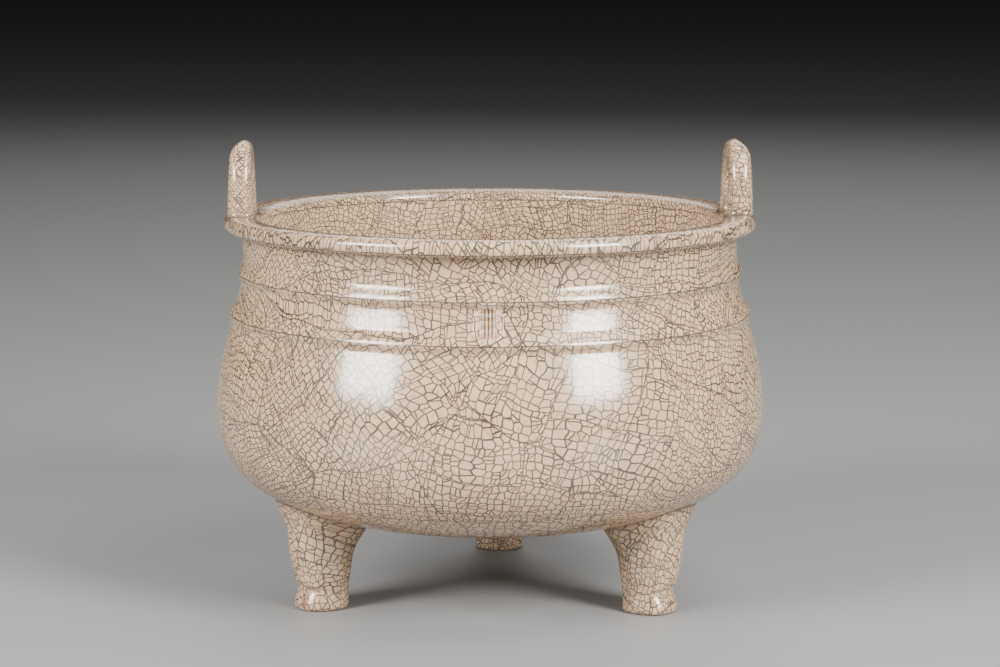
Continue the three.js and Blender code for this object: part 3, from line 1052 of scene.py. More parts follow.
class Around:
    """Geometry nodes that repeat a limb around the bowl's axis."""

    INPUTS = (
        ("Limb", "NodeSocketGeometry"),
        ("Count", "NodeSocketInt"),
        ("First turn", "NodeSocketFloat"),
        ("Chart step", "NodeSocketFloat"),
        ("Glaze", "NodeSocketMaterial"),
    )

    def __init__(self) -> None:
        """Builds the tree once, with its named inputs."""
        tree = bpy.data.node_groups.new("limbs_around_axis", "GeometryNodeTree")
        for name, kind in self.INPUTS:
            tree.interface.new_socket(name, in_out="INPUT", socket_type=kind)
        tree.interface.new_socket("Limbs", in_out="OUTPUT", socket_type="NodeSocketGeometry")
        new, link, s = tree.nodes.new, tree.links.new, Shader(tree)
        given, result = new("NodeGroupInput"), new("NodeGroupOutput")
        spots = new("GeometryNodePoints")
        link(given.outputs["Count"], spots.inputs["Count"])
        index = new("GeometryNodeInputIndex")
        part = s.math("DIVIDE", 2 * math.pi, given.outputs["Count"])
        step = s.math("MULTIPLY", index.outputs[0], part)
        turn = s.math("ADD", step, given.outputs["First turn"])
        axis = new("ShaderNodeCombineXYZ")
        link(turn, axis.inputs["Z"])
        number = new("GeometryNodeStoreNamedAttribute")
        number.data_type, number.domain = "FLOAT", "INSTANCE"
        number.inputs["Name"].default_value = "copy"
        place = new("GeometryNodeInstanceOnPoints")
        link(spots.outputs[0], place.inputs["Points"])
        link(given.outputs["Limb"], place.inputs["Instance"])
        link(axis.outputs[0], place.inputs["Rotation"])
        link(place.outputs[0], number.inputs["Geometry"])
        link(index.outputs[0], number.inputs["Value"])
        real = new("GeometryNodeRealizeInstances")
        link(number.outputs[0], real.inputs[0])
        copy, chart = new("GeometryNodeInputNamedAttribute"), new("GeometryNodeInputNamedAttribute")
        copy.data_type, chart.data_type = "FLOAT", "FLOAT_VECTOR"
        copy.inputs["Name"].default_value, chart.inputs["Name"].default_value = "copy", CHART
        shift = s.math("MULTIPLY", copy.outputs[0], given.outputs["Chart step"])
        shift_y = new("ShaderNodeCombineXYZ")
        link(shift, shift_y.inputs["Y"])
        moved = new("ShaderNodeVectorMath")
        link(chart.outputs[0], moved.inputs[0])
        link(shift_y.outputs[0], moved.inputs[1])
        store = new("GeometryNodeStoreNamedAttribute")
        store.data_type, store.domain = "FLOAT2", "CORNER"
        store.inputs["Name"].default_value = CHART
        link(real.outputs[0], store.inputs["Geometry"])
        link(moved.outputs[0], store.inputs["Value"])
        paint = new("GeometryNodeSetMaterial")
        link(store.outputs[0], paint.inputs["Geometry"])
        link(given.outputs["Glaze"], paint.inputs["Material"])
        link(paint.outputs[0], result.inputs[0])
        self.tree = tree

    def repeat(
        self, mesh: bpy.types.Mesh, count: int, turn: float, material: bpy.types.Material
    ) -> bpy.types.Mesh:
        """Repeats a limb's mesh around the axis.

        Args:
            mesh: The limb, standing along +X.
            count: How many there are.
            turn: The first one's angle in radians.
            material: Their material.

        Returns:
            A plain mesh of all of them.
        """
        carrier = bpy.data.objects.new("limb_carrier", mesh)
        bpy.context.scene.collection.objects.link(carrier)
        modifier = carrier.modifiers.new("around", "NODES")
        modifier.node_group = self.tree
        values = {"Count": count, "First turn": turn, "Chart step": COPY_STEP, "Glaze": material}
        for item in self.tree.interface.items_tree:
            if item.name in values:
                modifier[item.identifier] = values[item.name]
        shown = carrier.evaluated_get(bpy.context.evaluated_depsgraph_get())
        result = bpy.data.meshes.new_from_object(shown)
        carrier.modifiers.remove(modifier)
        bpy.data.objects.remove(carrier)
        return result


class Shader:
    """Short ways to add nodes to the tree of a material, a group or a geometry modifier."""

    def __init__(self, tree: bpy.types.NodeTree) -> None:
        """Keeps the tree."""
        self.tree = tree

    def put(self, socket: Socket, value: object) -> None:
        """Links a socket to an input, or sets the input to a value."""
        if isinstance(value, Socket):
            self.tree.links.new(value, socket)
        elif value is not None:
            socket.default_value = value

    def node(self, kind: str, settings: dict[str, object] | None = None, **inputs: object) -> bpy.types.Node:
        """Adds a node.

        Args:
            kind: The node's type.
            settings: Its own properties.
            inputs: Its inputs by name, with underscores for spaces.

        Returns:
            The node.
        """
        node = self.tree.nodes.new(kind)
        for key, value in (settings or {}).items():
            setattr(node, key, value)
        for key, value in inputs.items():
            self.put(node.inputs[key.replace("_", " ")], value)
        return node

    def filled(self, kind: str, settings: dict[str, object], values: Sequence[object]) -> Socket:
        """Adds a node and fills its inputs in their order.

        Args:
            kind: The node's type.
            settings: Its settings by name.
            values: Numbers, vectors or sockets, for the inputs from the first on.

        Returns:
            The node's first output.
        """
        node = self.node(kind, settings)
        for socket, value in zip(node.inputs, values):
            self.put(socket, value)
        return node.outputs[0]

    def math(self, kind: str, *values: object) -> Socket:
        """Adds a maths node and returns its output.

        Args:
            kind: The sum to do.
            values: Numbers or sockets.

        Returns:
            The node's output.
        """
        return self.filled("ShaderNodeMath", {"operation": kind}, values)

    def vector(self, kind: str, *values: object) -> Socket:
        """Adds a vector maths node and returns its vector.

        Args:
            kind: The sum to do.
            values: Vectors or sockets.

        Returns:
            The node's vector.
        """
        return self.filled("ShaderNodeVectorMath", {"operation": kind}, values)

    def part(self, value: Socket, axis: int) -> Socket:
        """One of the three numbers of a vector or colour."""
        return self.node("ShaderNodeSeparateXYZ", Vector=value).outputs[axis]

    def cells(self, place: Socket, size: float, randomness: float) -> tuple[Socket, Socket, Socket]:
        """Divides a plane into cells.

        Args:
            place: Where the plane is read, in millimetres.
            size: The cells' size.
            randomness: How uneven they are.

        Returns:
            The distance to the cell's edge, its colour, and the place measured from its own point.
        """
        flat = self.vector("MULTIPLY", place, (1 / size, 1 / size, 0))
        settings = {"voronoi_dimensions": "2D", "feature": "F1"}
        cell = self.node("ShaderNodeTexVoronoi", settings, Vector=flat, Scale=1.0, Randomness=randomness)
        settings["feature"] = "DISTANCE_TO_EDGE"
        rim = self.node("ShaderNodeTexVoronoi", settings, Vector=flat, Scale=1.0, Randomness=randomness)
        away = self.vector("SUBTRACT", flat, cell.outputs["Position"])
        gap = self.math("MULTIPLY", rim.outputs["Distance"], size)
        return gap, cell.outputs["Color"], self.vector("MULTIPLY", away, (size, size, 0))

    def ramp(self, value: object, low: float, high: float, start: float = 0.0, end: float = 1.0) -> Socket:
        """Maps a value smoothly from low..high to start..end.

        Args:
            value: A number or a socket.
            low: Where the change begins.
            high: Where it ends.
            start: The result up to low.
            end: The result from high on.

        Returns:
            The result.
        """
        settings = {"interpolation_type": "SMOOTHSTEP"}
        return self.filled("ShaderNodeMapRange", settings, (value, low, high, start, end))

    def mix(self, factor: object, a: object, b: object, kind: str = "MIX") -> Socket:
        """Mixes two colours.

        Args:
            factor: How much of the second, as a number or a socket.
            a: The first colour.
            b: The second colour.
            kind: How they are mixed.

        Returns:
            The mixed colour.
        """
        node = self.tree.nodes.new("ShaderNodeMix")
        node.data_type, node.blend_type = "RGBA", kind
        self.put(node.inputs[0], factor)
        self.put(node.inputs[6], a)
        self.put(node.inputs[7], b)
        return node.outputs[2]

    def noise(self, place: object, size: float, detail: float = 2.0) -> Socket:
        """Noise as a colour around 0.5, its features about size millimetres across."""
        settings = {"noise_dimensions": "3D"}
        node = self.node("ShaderNodeTexNoise", settings, Vector=place, Scale=1 / size, Detail=detail)
        return node.outputs["Color"]

    def dice(self, seed: Socket) -> tuple[Socket, Socket]:
        """Chance for a seed: one number, and three more as a colour."""
        node = self.node("ShaderNodeTexWhiteNoise", {"noise_dimensions": "3D"}, Vector=seed)
        return node.outputs["Value"], node.outputs["Color"]

    def attribute(self, name: str) -> Socket:
        """A number that is written on the mesh's points."""
        return self.node("ShaderNodeAttribute", {"attribute_name": name}).outputs["Fac"]


@dataclass(frozen=True)
class Cut:
    """One set of bowed lines: its spacing, how far it turns, bows and strays, and how often it is drawn."""

    size: float
    turn: float
    bow: float
    stray: float
    chance: float = 1.0


@dataclass(frozen=True)
class Fade:
    """How a line, a stain or a painted shade is drawn: in full up to one distance, and not at all from
    another on.
    """

    full: float
    gone: float
    strength: float = 1.0

    def draw(self, s: Shader, distance: Socket) -> Socket:
        """Draws it.

        Args:
            s: The material's tree.
            distance: How far a place is from it.

        Returns:
            How strongly it shows.
        """
        return s.math("MULTIPLY", s.ramp(distance, self.full, self.gone, 1.0, 0.0), self.strength)


class Split(Enum):
    """How a split divides what it is given."""

    HALVES = "split_in_halves"
    STRIPES = "split_in_stripes"


class Fracture:
    """A node group that splits each shard of glaze along bowed lines."""

    INPUTS = (
        ("Place", "NodeSocketVector"),
        ("Seed", "NodeSocketVector"),
        ("Size", "NodeSocketFloat"),
        ("Turn", "NodeSocketFloat"),
        ("Bow", "NodeSocketFloat"),
        ("Stray", "NodeSocketFloat"),
        ("Chance", "NodeSocketFloat"),
    )
    OUTPUTS = (
        ("Place", "NodeSocketVector"),
        ("Seed", "NodeSocketVector"),
        ("Distance", "NodeSocketFloat"),
    )

    def __init__(self, kind: Split) -> None:
        """Builds the group once.

        Args:
            kind: Whether it cuts a shard in two, at times, or a field of any size into stripes.
        """
        tree = bpy.data.node_groups.new(kind.value, "ShaderNodeTree")
        for sockets, way in ((self.INPUTS, "INPUT"), (self.OUTPUTS, "OUTPUT")):
            for name, socket_type in sockets:
                tree.interface.new_socket(name, in_out=way, socket_type=socket_type)
        s = Shader(tree)
        given, result = tree.nodes.new("NodeGroupInput").outputs, tree.nodes.new("NodeGroupOutput")
        size, old_seed = given["Size"], given["Seed"]
        luck, color = s.dice(old_seed)
        turn = s.math("MULTIPLY", s.math("SUBTRACT", s.part(color, 0), 0.5), given["Turn"])
        settings = {"rotation_type": "Z_AXIS"}
        turned = s.node("ShaderNodeVectorRotate", settings, Vector=given["Place"], Angle=turn).outputs[0]
        x, y = s.part(turned, 0), s.part(turned, 1)
        bend = s.math("MULTIPLY", s.math("SUBTRACT", s.part(color, 2), 0.5), given["Bow"])
        sag = s.math("DIVIDE", s.math("MULTIPLY", bend, s.math("MULTIPLY", y, y)), size)
        bowed = s.math("ADD", x, sag)
        if kind is Split.STRIPES:
            number = s.math("ROUND", s.math("DIVIDE", bowed, size))
            near = s.node("ShaderNodeCombineXYZ", X=number, Y=s.math("MULTIPLY", number, 1.7), Z=0.37)
            own = s.part(s.dice(s.vector("ADD", old_seed, near.outputs[0]))[1], 0)
            stray = s.math("MULTIPLY", s.math("SUBTRACT", own, 0.5), given["Stray"])
            line = s.math("SUBTRACT", bowed, s.math("MULTIPLY", s.math("ADD", number, stray), size))
            spot = s.math("ADD", number, s.math("MULTIPLY", s.math("SIGN", line), 0.5))
            local = s.math("SUBTRACT", bowed, s.math("MULTIPLY", spot, size))
            distance = s.math("ABSOLUTE", line)
        else:
            shift = s.math("MULTIPLY", s.math("SUBTRACT", s.part(color, 1), 0.5), size)
            line = s.math("SUBTRACT", bowed, s.math("MULTIPLY", shift, given["Stray"]))
            spot = s.math("SIGN", line)
            local = s.math("SUBTRACT", line, s.math("MULTIPLY", s.math("MULTIPLY", spot, size), 0.25))
            whole = s.math("GREATER_THAN", luck, given["Chance"])
            distance = s.math("ADD", s.math("ABSOLUTE", line), s.math("MULTIPLY", whole, NO_LINE))
        place = s.node("ShaderNodeCombineXYZ", X=y, Y=local)
        grown = s.vector("MULTIPLY", old_seed, (1.37, 1.71, 1.13))
        aside, ahead = s.math("MULTIPLY", spot, 0.31), s.math("MULTIPLY", spot, 0.57)
        step = s.node("ShaderNodeCombineXYZ", X=aside, Y=ahead, Z=0.29)
        for name, value in (
            ("Place", place.outputs[0]),
            ("Seed", s.vector("ADD", grown, step.outputs[0])),
            ("Distance", distance),
        ):
            s.put(result.inputs[name], value)
        self.tree = tree

    def use(self, shader: Shader, place: Socket, seed: Socket, cut: Cut) -> dict[str, Socket]:
        """Adds one split to a material.

        Args:
            shader: The material's tree.
            place: The place in the shard.
            seed: A vector that is the shard's own.
            cut: How the lines run.

        Returns:
            The group's outputs by name.
        """
        given = {"Size": cut.size, "Turn": cut.turn, "Bow": cut.bow, "Stray": cut.stray, "Chance": cut.chance}
        node = shader.node("ShaderNodeGroup", {"node_tree": self.tree}, Place=place, Seed=seed, **given)
        return {socket.name: socket for socket in node.outputs}


@dataclass(frozen=True)
class GlazeFinish:
    """The cream glaze: its colours, its gloss, its crackle in millimetres, its stains and its painted shade.
    """

    cream: tuple[float, float, float, float] = (0.57, 0.395, 0.235, 1)
    pink: tuple[float, float, float, float] = (0.6, 0.36, 0.225, 1)
    green: tuple[float, float, float, float] = (0.5, 0.395, 0.245, 1)
    iron: tuple[float, float, float, float] = (0.03, 0.026, 0.025, 1)
    gold: tuple[float, float, float, float] = (0.46, 0.19, 0.07, 1)
    # Brown for real stains and for painted shade under the rings, under the lip, at the joints and in the
    # relief's grooves.
    stain_and_shade: tuple[float, float, float, float] = (0.27, 0.17, 0.105, 1)
    clay: tuple[float, float, float, float] = (0.2, 0.125, 0.08, 1)
    roughness: float = 0.18
    gloss_ior: float = 1.68
    warps: tuple[tuple[float, float], ...] = ((34.0, 12.0), (9.0, 2.6), (2.6, 0.5))
    shard: float = 62.0
    shard_randomness: float = 0.7
    stripes: tuple[Cut, ...] = (Cut(19.0, 6.28, 0.2, 0.5), Cut(15.0, 0.5, 0.4, 0.5))
    cell: float = 2.85
    cell_randomness: float = 0.5
    dark_half: Cut = Cut(2.8, 6.28, 0.5, 0.3, 0.3)
    gold_half: Cut = Cut(2.1, 1.4, 0.6, 0.3, 0.4)
    long_crack: Fade = Fade(0.1, 0.29, 0.93)
    cell_crack: Fade = Fade(0.11, 0.32, 0.92)
    joint_crack: Fade = Fade(0.25, 0.85, 0.85)
    gold_thread: Fade = Fade(0.06, 0.28)
    # Painted shade in the creases where the feet and ears join the bowl.
    joint_shade: Fade = Fade(0.6, 3.6, 0.8)
    toe_stain: Fade = Fade(0.6 * MM, 2.8 * MM, 0.75)
    toe_place: tuple[float, float, float] = (-0.0642, -0.0349, 0.0018)
    bare_sole: Fade = Fade(0.3 * MM, 0.6 * MM)

    def build(self, bowl: Bowl) -> bpy.types.Material:
        """Makes the material.

        Args:
            bowl: The bowl, whose section says where the bands of cracks lie.

        Returns:
            The material.
        """
        material = bpy.data.materials.new("crackle_glaze")
        material.use_nodes = True
        tree = material.node_tree
        tree.nodes.clear()
        s = Shader(tree)
        chart = s.node("ShaderNodeUVMap", {"uv_map": CHART}).outputs[0]
        drift = s.part(s.noise(s.vector("MULTIPLY", chart, (1, 0.3, 1)), 9.0), 0)
        drift = s.math("SUBTRACT", drift, 0.5)
        level = s.math("ADD", s.part(chart, 1), drift)
        cracks, gold, seed = self.crackle(s, bowl, chart, level)
        body = self.body(s, chart, seed)
        patchy = s.part(s.noise(chart, 7.0, 3.0), 2)
        # Brown laid over the glaze: the real stains, and painted shade under the rings, under the lip, at the
        # joints and in the grooves.
        body = s.mix(self.stains_and_shade(s, bowl, chart, level, patchy, cracks), body, self.stain_and_shade)
        gold = s.math("MULTIPLY", gold, s.ramp(patchy, 0.35, 0.6, 0.4, 1.0))
        body = s.mix(s.math("MAXIMUM", gold, self.toe_spot(s)), body, self.gold)
        worn = s.ramp(s.part(s.noise(chart, 6.0), 1), 0.3, 0.6, 0.84, 1.0)
        body = s.mix(s.math("MULTIPLY", cracks, worn), body, self.iron)
        place = s.node("ShaderNodeTexCoord").outputs["Object"]
        bare = self.bare_sole.draw(s, s.part(place, 2))
        body = s.mix(bare, body, self.clay)
        rough = s.math("ADD", s.math("MULTIPLY", bare, 0.6), self.roughness)
        ripple = s.part(s.noise(chart, 10.0, 3.0), 0)
        bump = s.node("ShaderNodeBump", Height=ripple, Strength=0.4, Distance=0.0002)
        shader = s.node("ShaderNodeBsdfPrincipled", Base_Color=body, Roughness=rough, Normal=bump.outputs[0])
        shader.inputs["IOR"].default_value = self.gloss_ior
        out = s.node("ShaderNodeOutputMaterial")
        s.put(out.inputs["Surface"], shader.outputs[0])
        return material

    @staticmethod
    def zones(bowl: Bowl) -> list[tuple[float, float, float]]:
        """Lists the bands of cracks.

        Args:
            bowl: The bowl.

        Returns:
            Where each band begins along the section, and how much narrower and lower its cells are.
        """
        return [
            (bowl.s_lower, 1.0, 1.0),
            (bowl.s_upper, 1.0, 1.0),
            (bowl.s_neck - 0.3, 1.5, 1.0),
            (bowl.s_neck + 4.6, 1.6, 0.62),
            (bowl.s_top + 0.6, 1.5, 1.0),
            (bowl.s_mouth + 1.0, 1.0, 1.0),
        ]

    def bands(self, s: Shader, bowl: Bowl, level: Socket) -> tuple[Socket, Socket, Socket, Socket]:
        """Reads which band of cracks a place lies in.

        Args:
            s: The material's tree.
            bowl: The bowl.
            level: The glaze chart's height, wandering a little.

        Returns:
            The band's number, the distance to the nearest band's edge, and how much narrower and
            lower the cells are.
        """
        height = bowl.turned.chart_height
        zone, crest, squeeze, flatten, before = None, None, 1.0, 1.0, (1.0, 1.0)
        for where, narrow, low in self.zones(bowl):
            beyond = s.math("GREATER_THAN", level, float(height(where)))
            zone = beyond if zone is None else s.math("ADD", zone, beyond)
            squeeze = s.math("ADD", s.math("MULTIPLY", beyond, narrow - before[0]), squeeze)
            flatten = s.math("ADD", s.math("MULTIPLY", beyond, low - before[1]), flatten)
            before = (narrow, low)
            gap = s.math("ABSOLUTE", s.math("SUBTRACT", level, float(height(where))))
            crest = gap if crest is None else s.math("MINIMUM", crest, gap)
        for start, more in ((FOOT_CHART - 100.0, 0.25), (EAR_CHART - 50.0, 0.6)):
            limb = s.math("MULTIPLY", s.math("GREATER_THAN", level, start), more)
            squeeze, flatten = s.math("ADD", squeeze, limb), s.math("ADD", flatten, limb)
        return zone, crest, squeeze, flatten

    def crackle(self, s: Shader, bowl: Bowl, chart: Socket, level: Socket) -> tuple[Socket, Socket, Socket]:
        """Draws the cracks: long bowed ones, then cells between them, some halved, some with a gold thread.

        Args:
            s: The material's tree.
            bowl: The bowl.
            chart: The glaze chart.
            level: Its height, wandering a little.

        Returns:
            The dark cracks, the gold threads, and a vector that is the cell's own.
        """
        zone, crest, squeeze, flatten = self.bands(s, bowl, level)
        across = s.math("ADD", s.math("MULTIPLY", s.part(chart, 0), squeeze), s.math("MULTIPLY", zone, 217.0))
        up = s.math("MULTIPLY", s.part(chart, 1), flatten)
        place = s.node("ShaderNodeCombineXYZ", X=across, Y=up).outputs[0]
        warped = place
        for size, amount in self.warps:
            push = s.vector("SUBTRACT", s.noise(place, size, 1.0), (0.5, 0.5, 0.5))
            warped = s.vector("ADD", warped, s.vector("MULTIPLY", push, (amount, amount, 0)))
        rim, color, at = s.cells(warped, self.shard, self.shard_randomness)
        main, seed = rim, s.vector("MULTIPLY", color, (7.1, 5.3, 9.7))
        stripes, halves = Fracture(Split.STRIPES), Fracture(Split.HALVES)
        for cut in self.stripes:
            split = stripes.use(s, at, seed, cut)
            at, seed = split["Place"], split["Seed"]
            main = s.math("MINIMUM", main, split["Distance"])
        dense = self.dense(s, bowl, chart, color)
        local = s.vector("MULTIPLY", at, s.node("ShaderNodeCombineXYZ", X=dense, Y=dense).outputs[0])
        own = s.vector("ADD", local, s.vector("MULTIPLY", seed, (13.0, 29.0, 0)))
        fine, color, at = s.cells(own, self.cell, self.cell_randomness)
        seed = s.vector("ADD", s.vector("MULTIPLY", color, (9.1, 6.3, 5.7)), seed)
        split = halves.use(s, at, seed, self.dark_half)
        fine = s.math("MINIMUM", fine, split["Distance"])
        at, seed = split["Place"], split["Seed"]
        split = halves.use(s, at, seed, self.gold_half)
        wide = s.math("DIVIDE", 1.0, s.math("ADD", s.math("MULTIPLY", squeeze, 0.4), 0.6))
        edge, joint = s.attribute("edge_gap"), s.attribute("joint_gap")
        main = s.math("MINIMUM", s.math("MULTIPLY", main, wide), s.math("MINIMUM", crest, edge))
        fine = s.math("DIVIDE", s.math("MULTIPLY", fine, wide), dense)
        dark = s.math("MAXIMUM", self.long_crack.draw(s, main), self.cell_crack.draw(s, fine))
        dark = s.math("MAXIMUM", dark, self.joint_crack.draw(s, joint))
        dark = s.math("MULTIPLY", dark, self.off_relief(s, bowl, chart))
        return dark, self.gold_thread.draw(s, split["Distance"]), seed

    @staticmethod
    def from_relief(s: Shader, bowl: Bowl, chart: Socket) -> tuple[Socket, Socket]:
        """Distances from the relief's middle.

        Args:
            s: The material's tree.
            bowl: The bowl.
            chart: The glaze chart.

        Returns:
            The distance sideways and the distance up or down the wall.
        """
        middle = float(bowl.turned.chart_height((bowl.s_lower + bowl.s_upper) / 2))
        center = (bowl.relief_angle + math.pi / 2) * bowl.turned.chart_radius
        aside = s.math("ABSOLUTE", s.math("SUBTRACT", s.part(chart, 0), center))
        away = s.math("ABSOLUTE", s.math("SUBTRACT", s.part(chart, 1), middle))
        return aside, away

    def off_relief(self, s: Shader, bowl: Bowl, chart: Socket) -> Socket:
        """How strongly cracks show: weakly on the reeds of the relief, fully elsewhere.

        Args:
            s: The material's tree.
            bowl: The bowl.
            chart: The glaze chart.

        Returns:
            The factor.
        """
        aside, away = self.from_relief(s, bowl, chart)
        reeds = s.math("MULTIPLY", s.ramp(aside, 2.4, 3.4, 1.0, 0.0), s.ramp(away, 4.4, 5.4, 1.0, 0.0))
        return s.math("SUBTRACT", 1.0, s.math("MULTIPLY", reeds, 0.65))

    @staticmethod
    def dense(s: Shader, bowl: Bowl, chart: Socket, color: Socket) -> Socket:
        """How much finer than usual the cells are: finer to the sides and low on the belly.

        Args:
            s: The material's tree.
            bowl: The bowl.
            chart: The glaze chart.
            color: The shard's own colour.

        Returns:
            The factor.
        """
        height = bowl.turned.chart_height
        low = float(height(bowl.s_under))
        high = float(height(bowl.turned.find(82.0, bowl.s_belly, bowl.s_lower, 1)))
        aside = s.ramp(s.math("ABSOLUTE", s.part(chart, 0)), 20.0, 115.0, 0.96, 1.28)
        down = s.ramp(s.part(chart, 1), low, high, 1.2, 1.0)
        own = s.math("ADD", s.math("MULTIPLY", s.part(color, 2), 0.24), 0.88)
        return s.math("MULTIPLY", s.math("MULTIPLY", aside, down), own)

    def body(self, s: Shader, chart: Socket, seed: Socket) -> Socket:
        """The glaze's own colour, a little different from cell to cell.

        Args:
            s: The material's tree.
            chart: The glaze chart.
            seed: A vector that is the cell's own.

        Returns:
            The colour.
        """
        luck = s.dice(seed)[1]
        body = s.mix(s.math("MULTIPLY", s.part(luck, 0), 0.5), self.cream, self.pink)
        body = s.mix(s.math("MULTIPLY", s.part(luck, 1), 0.5), body, self.green)
        shade = s.math("ADD", s.math("MULTIPLY", s.part(luck, 2), 0.12), 0.94)
        shade = s.math("MULTIPLY", shade, s.ramp(s.part(s.noise(chart, 26.0, 3.0), 0), 0.3, 0.7, 0.95, 1.04))
        grey = s.node("ShaderNodeCombineColor", Red=shade, Green=shade, Blue=shade).outputs[0]
        return s.mix(1.0, body, grey, "MULTIPLY")

    def stains_and_shade(
        self, s: Shader, bowl: Bowl, chart: Socket, level: Socket, patchy: Socket, cracks: Socket
    ) -> Socket:
        """How strongly the brown is laid on: painted shade under the rings, under the lip and at the joints,
        the mouth edge's own brown, the grooves' own brown mixed with painted shade, and a faint brown along
        the cracks.

        Args:
            s: The material's tree.
            bowl: The bowl.
            chart: The glaze chart.
            level: Its height, wandering a little.
            patchy: Noise that breaks up the stains and the painted shade.
            cracks: The dark cracks.

        Returns:
            The strength of the brown stain and painted shade.
        """
        height = bowl.turned.chart_height
        bands = None
        # Painted shade on the undersides of the two raised rings and under the lip; the two bands on the
        # lip's top and inner roll are the mouth's own brown where the glaze runs thin.
        for low, high, amount in (
            (bowl.s_lower - 2.6, bowl.s_lower, 0.24),
            (bowl.s_upper - 2.6, bowl.s_upper, 0.24),
            (bowl.s_neck - 1.6, bowl.s_neck + 4.2, 0.34),
            (bowl.s_top + 0.9, bowl.s_top + 3.4, 0.62),
            (bowl.s_top + 0.9, bowl.s_mouth - 1.2, 0.36),
        ):
            up = s.ramp(level, float(height(low)) - 0.8, float(height(low)) + 0.6)
            down = s.ramp(level, float(height(high)) - 0.4, float(height(high)) + 0.3, 1.0, 0.0)
            band = s.math("MULTIPLY", s.math("MULTIPLY", up, down), amount)
            bands = band if bands is None else s.math("ADD", bands, band)
        bands = s.math("MULTIPLY", bands, s.ramp(patchy, 0.3, 0.65, 0.6, 1.15))
        # Painted shade in the creases around the feet and ears.
        joint_shade_mask = self.joint_shade.draw(s, s.attribute("joint_gap"))
        aside, away = self.from_relief(s, bowl, chart)
        # The relief's grooves: the glaze's own brown there, plus painted shade in the recesses between the
        # reeds.
        groove_stain_and_shade = s.math("COSINE", s.math("MULTIPLY", aside, 2 * math.pi / bowl.relief.reed_pitch))
        groove_stain_and_shade = s.ramp(groove_stain_and_shade, -0.3, 0.8, 0.08, 0.78)
        groove_stain_and_shade = s.math("MULTIPLY", groove_stain_and_shade, s.ramp(aside, 2.3, 2.8, 1.0, 0.0))
        groove_stain_and_shade = s.math("MULTIPLY", groove_stain_and_shade, s.ramp(away, 4.2, 5.2, 1.0, 0.0))
        spots = s.math("MAXIMUM", groove_stain_and_shade, s.math("MULTIPLY", cracks, 0.2))
        return s.math("MAXIMUM", s.math("MAXIMUM", bands, joint_shade_mask), spots)

    def toe_spot(self, s: Shader) -> Socket:
        """A small orange stain on the toe of the left foot.

        Args:
            s: The material's tree.

        Returns:
            The stain's strength.
        """
        place = s.node("ShaderNodeTexCoord").outputs["Object"]
        away = s.node("ShaderNodeVectorMath", {"operation": "DISTANCE"})
        s.put(away.inputs[0], place)
        away.inputs[1].default_value = self.toe_place
        ragged = s.part(s.noise(place, 0.0016, 2.0), 0)
        far = s.math("ADD", away.outputs["Value"], s.math("MULTIPLY", s.math("SUBTRACT", ragged, 0.5), 0.004))
        return self.toe_stain.draw(s, far)


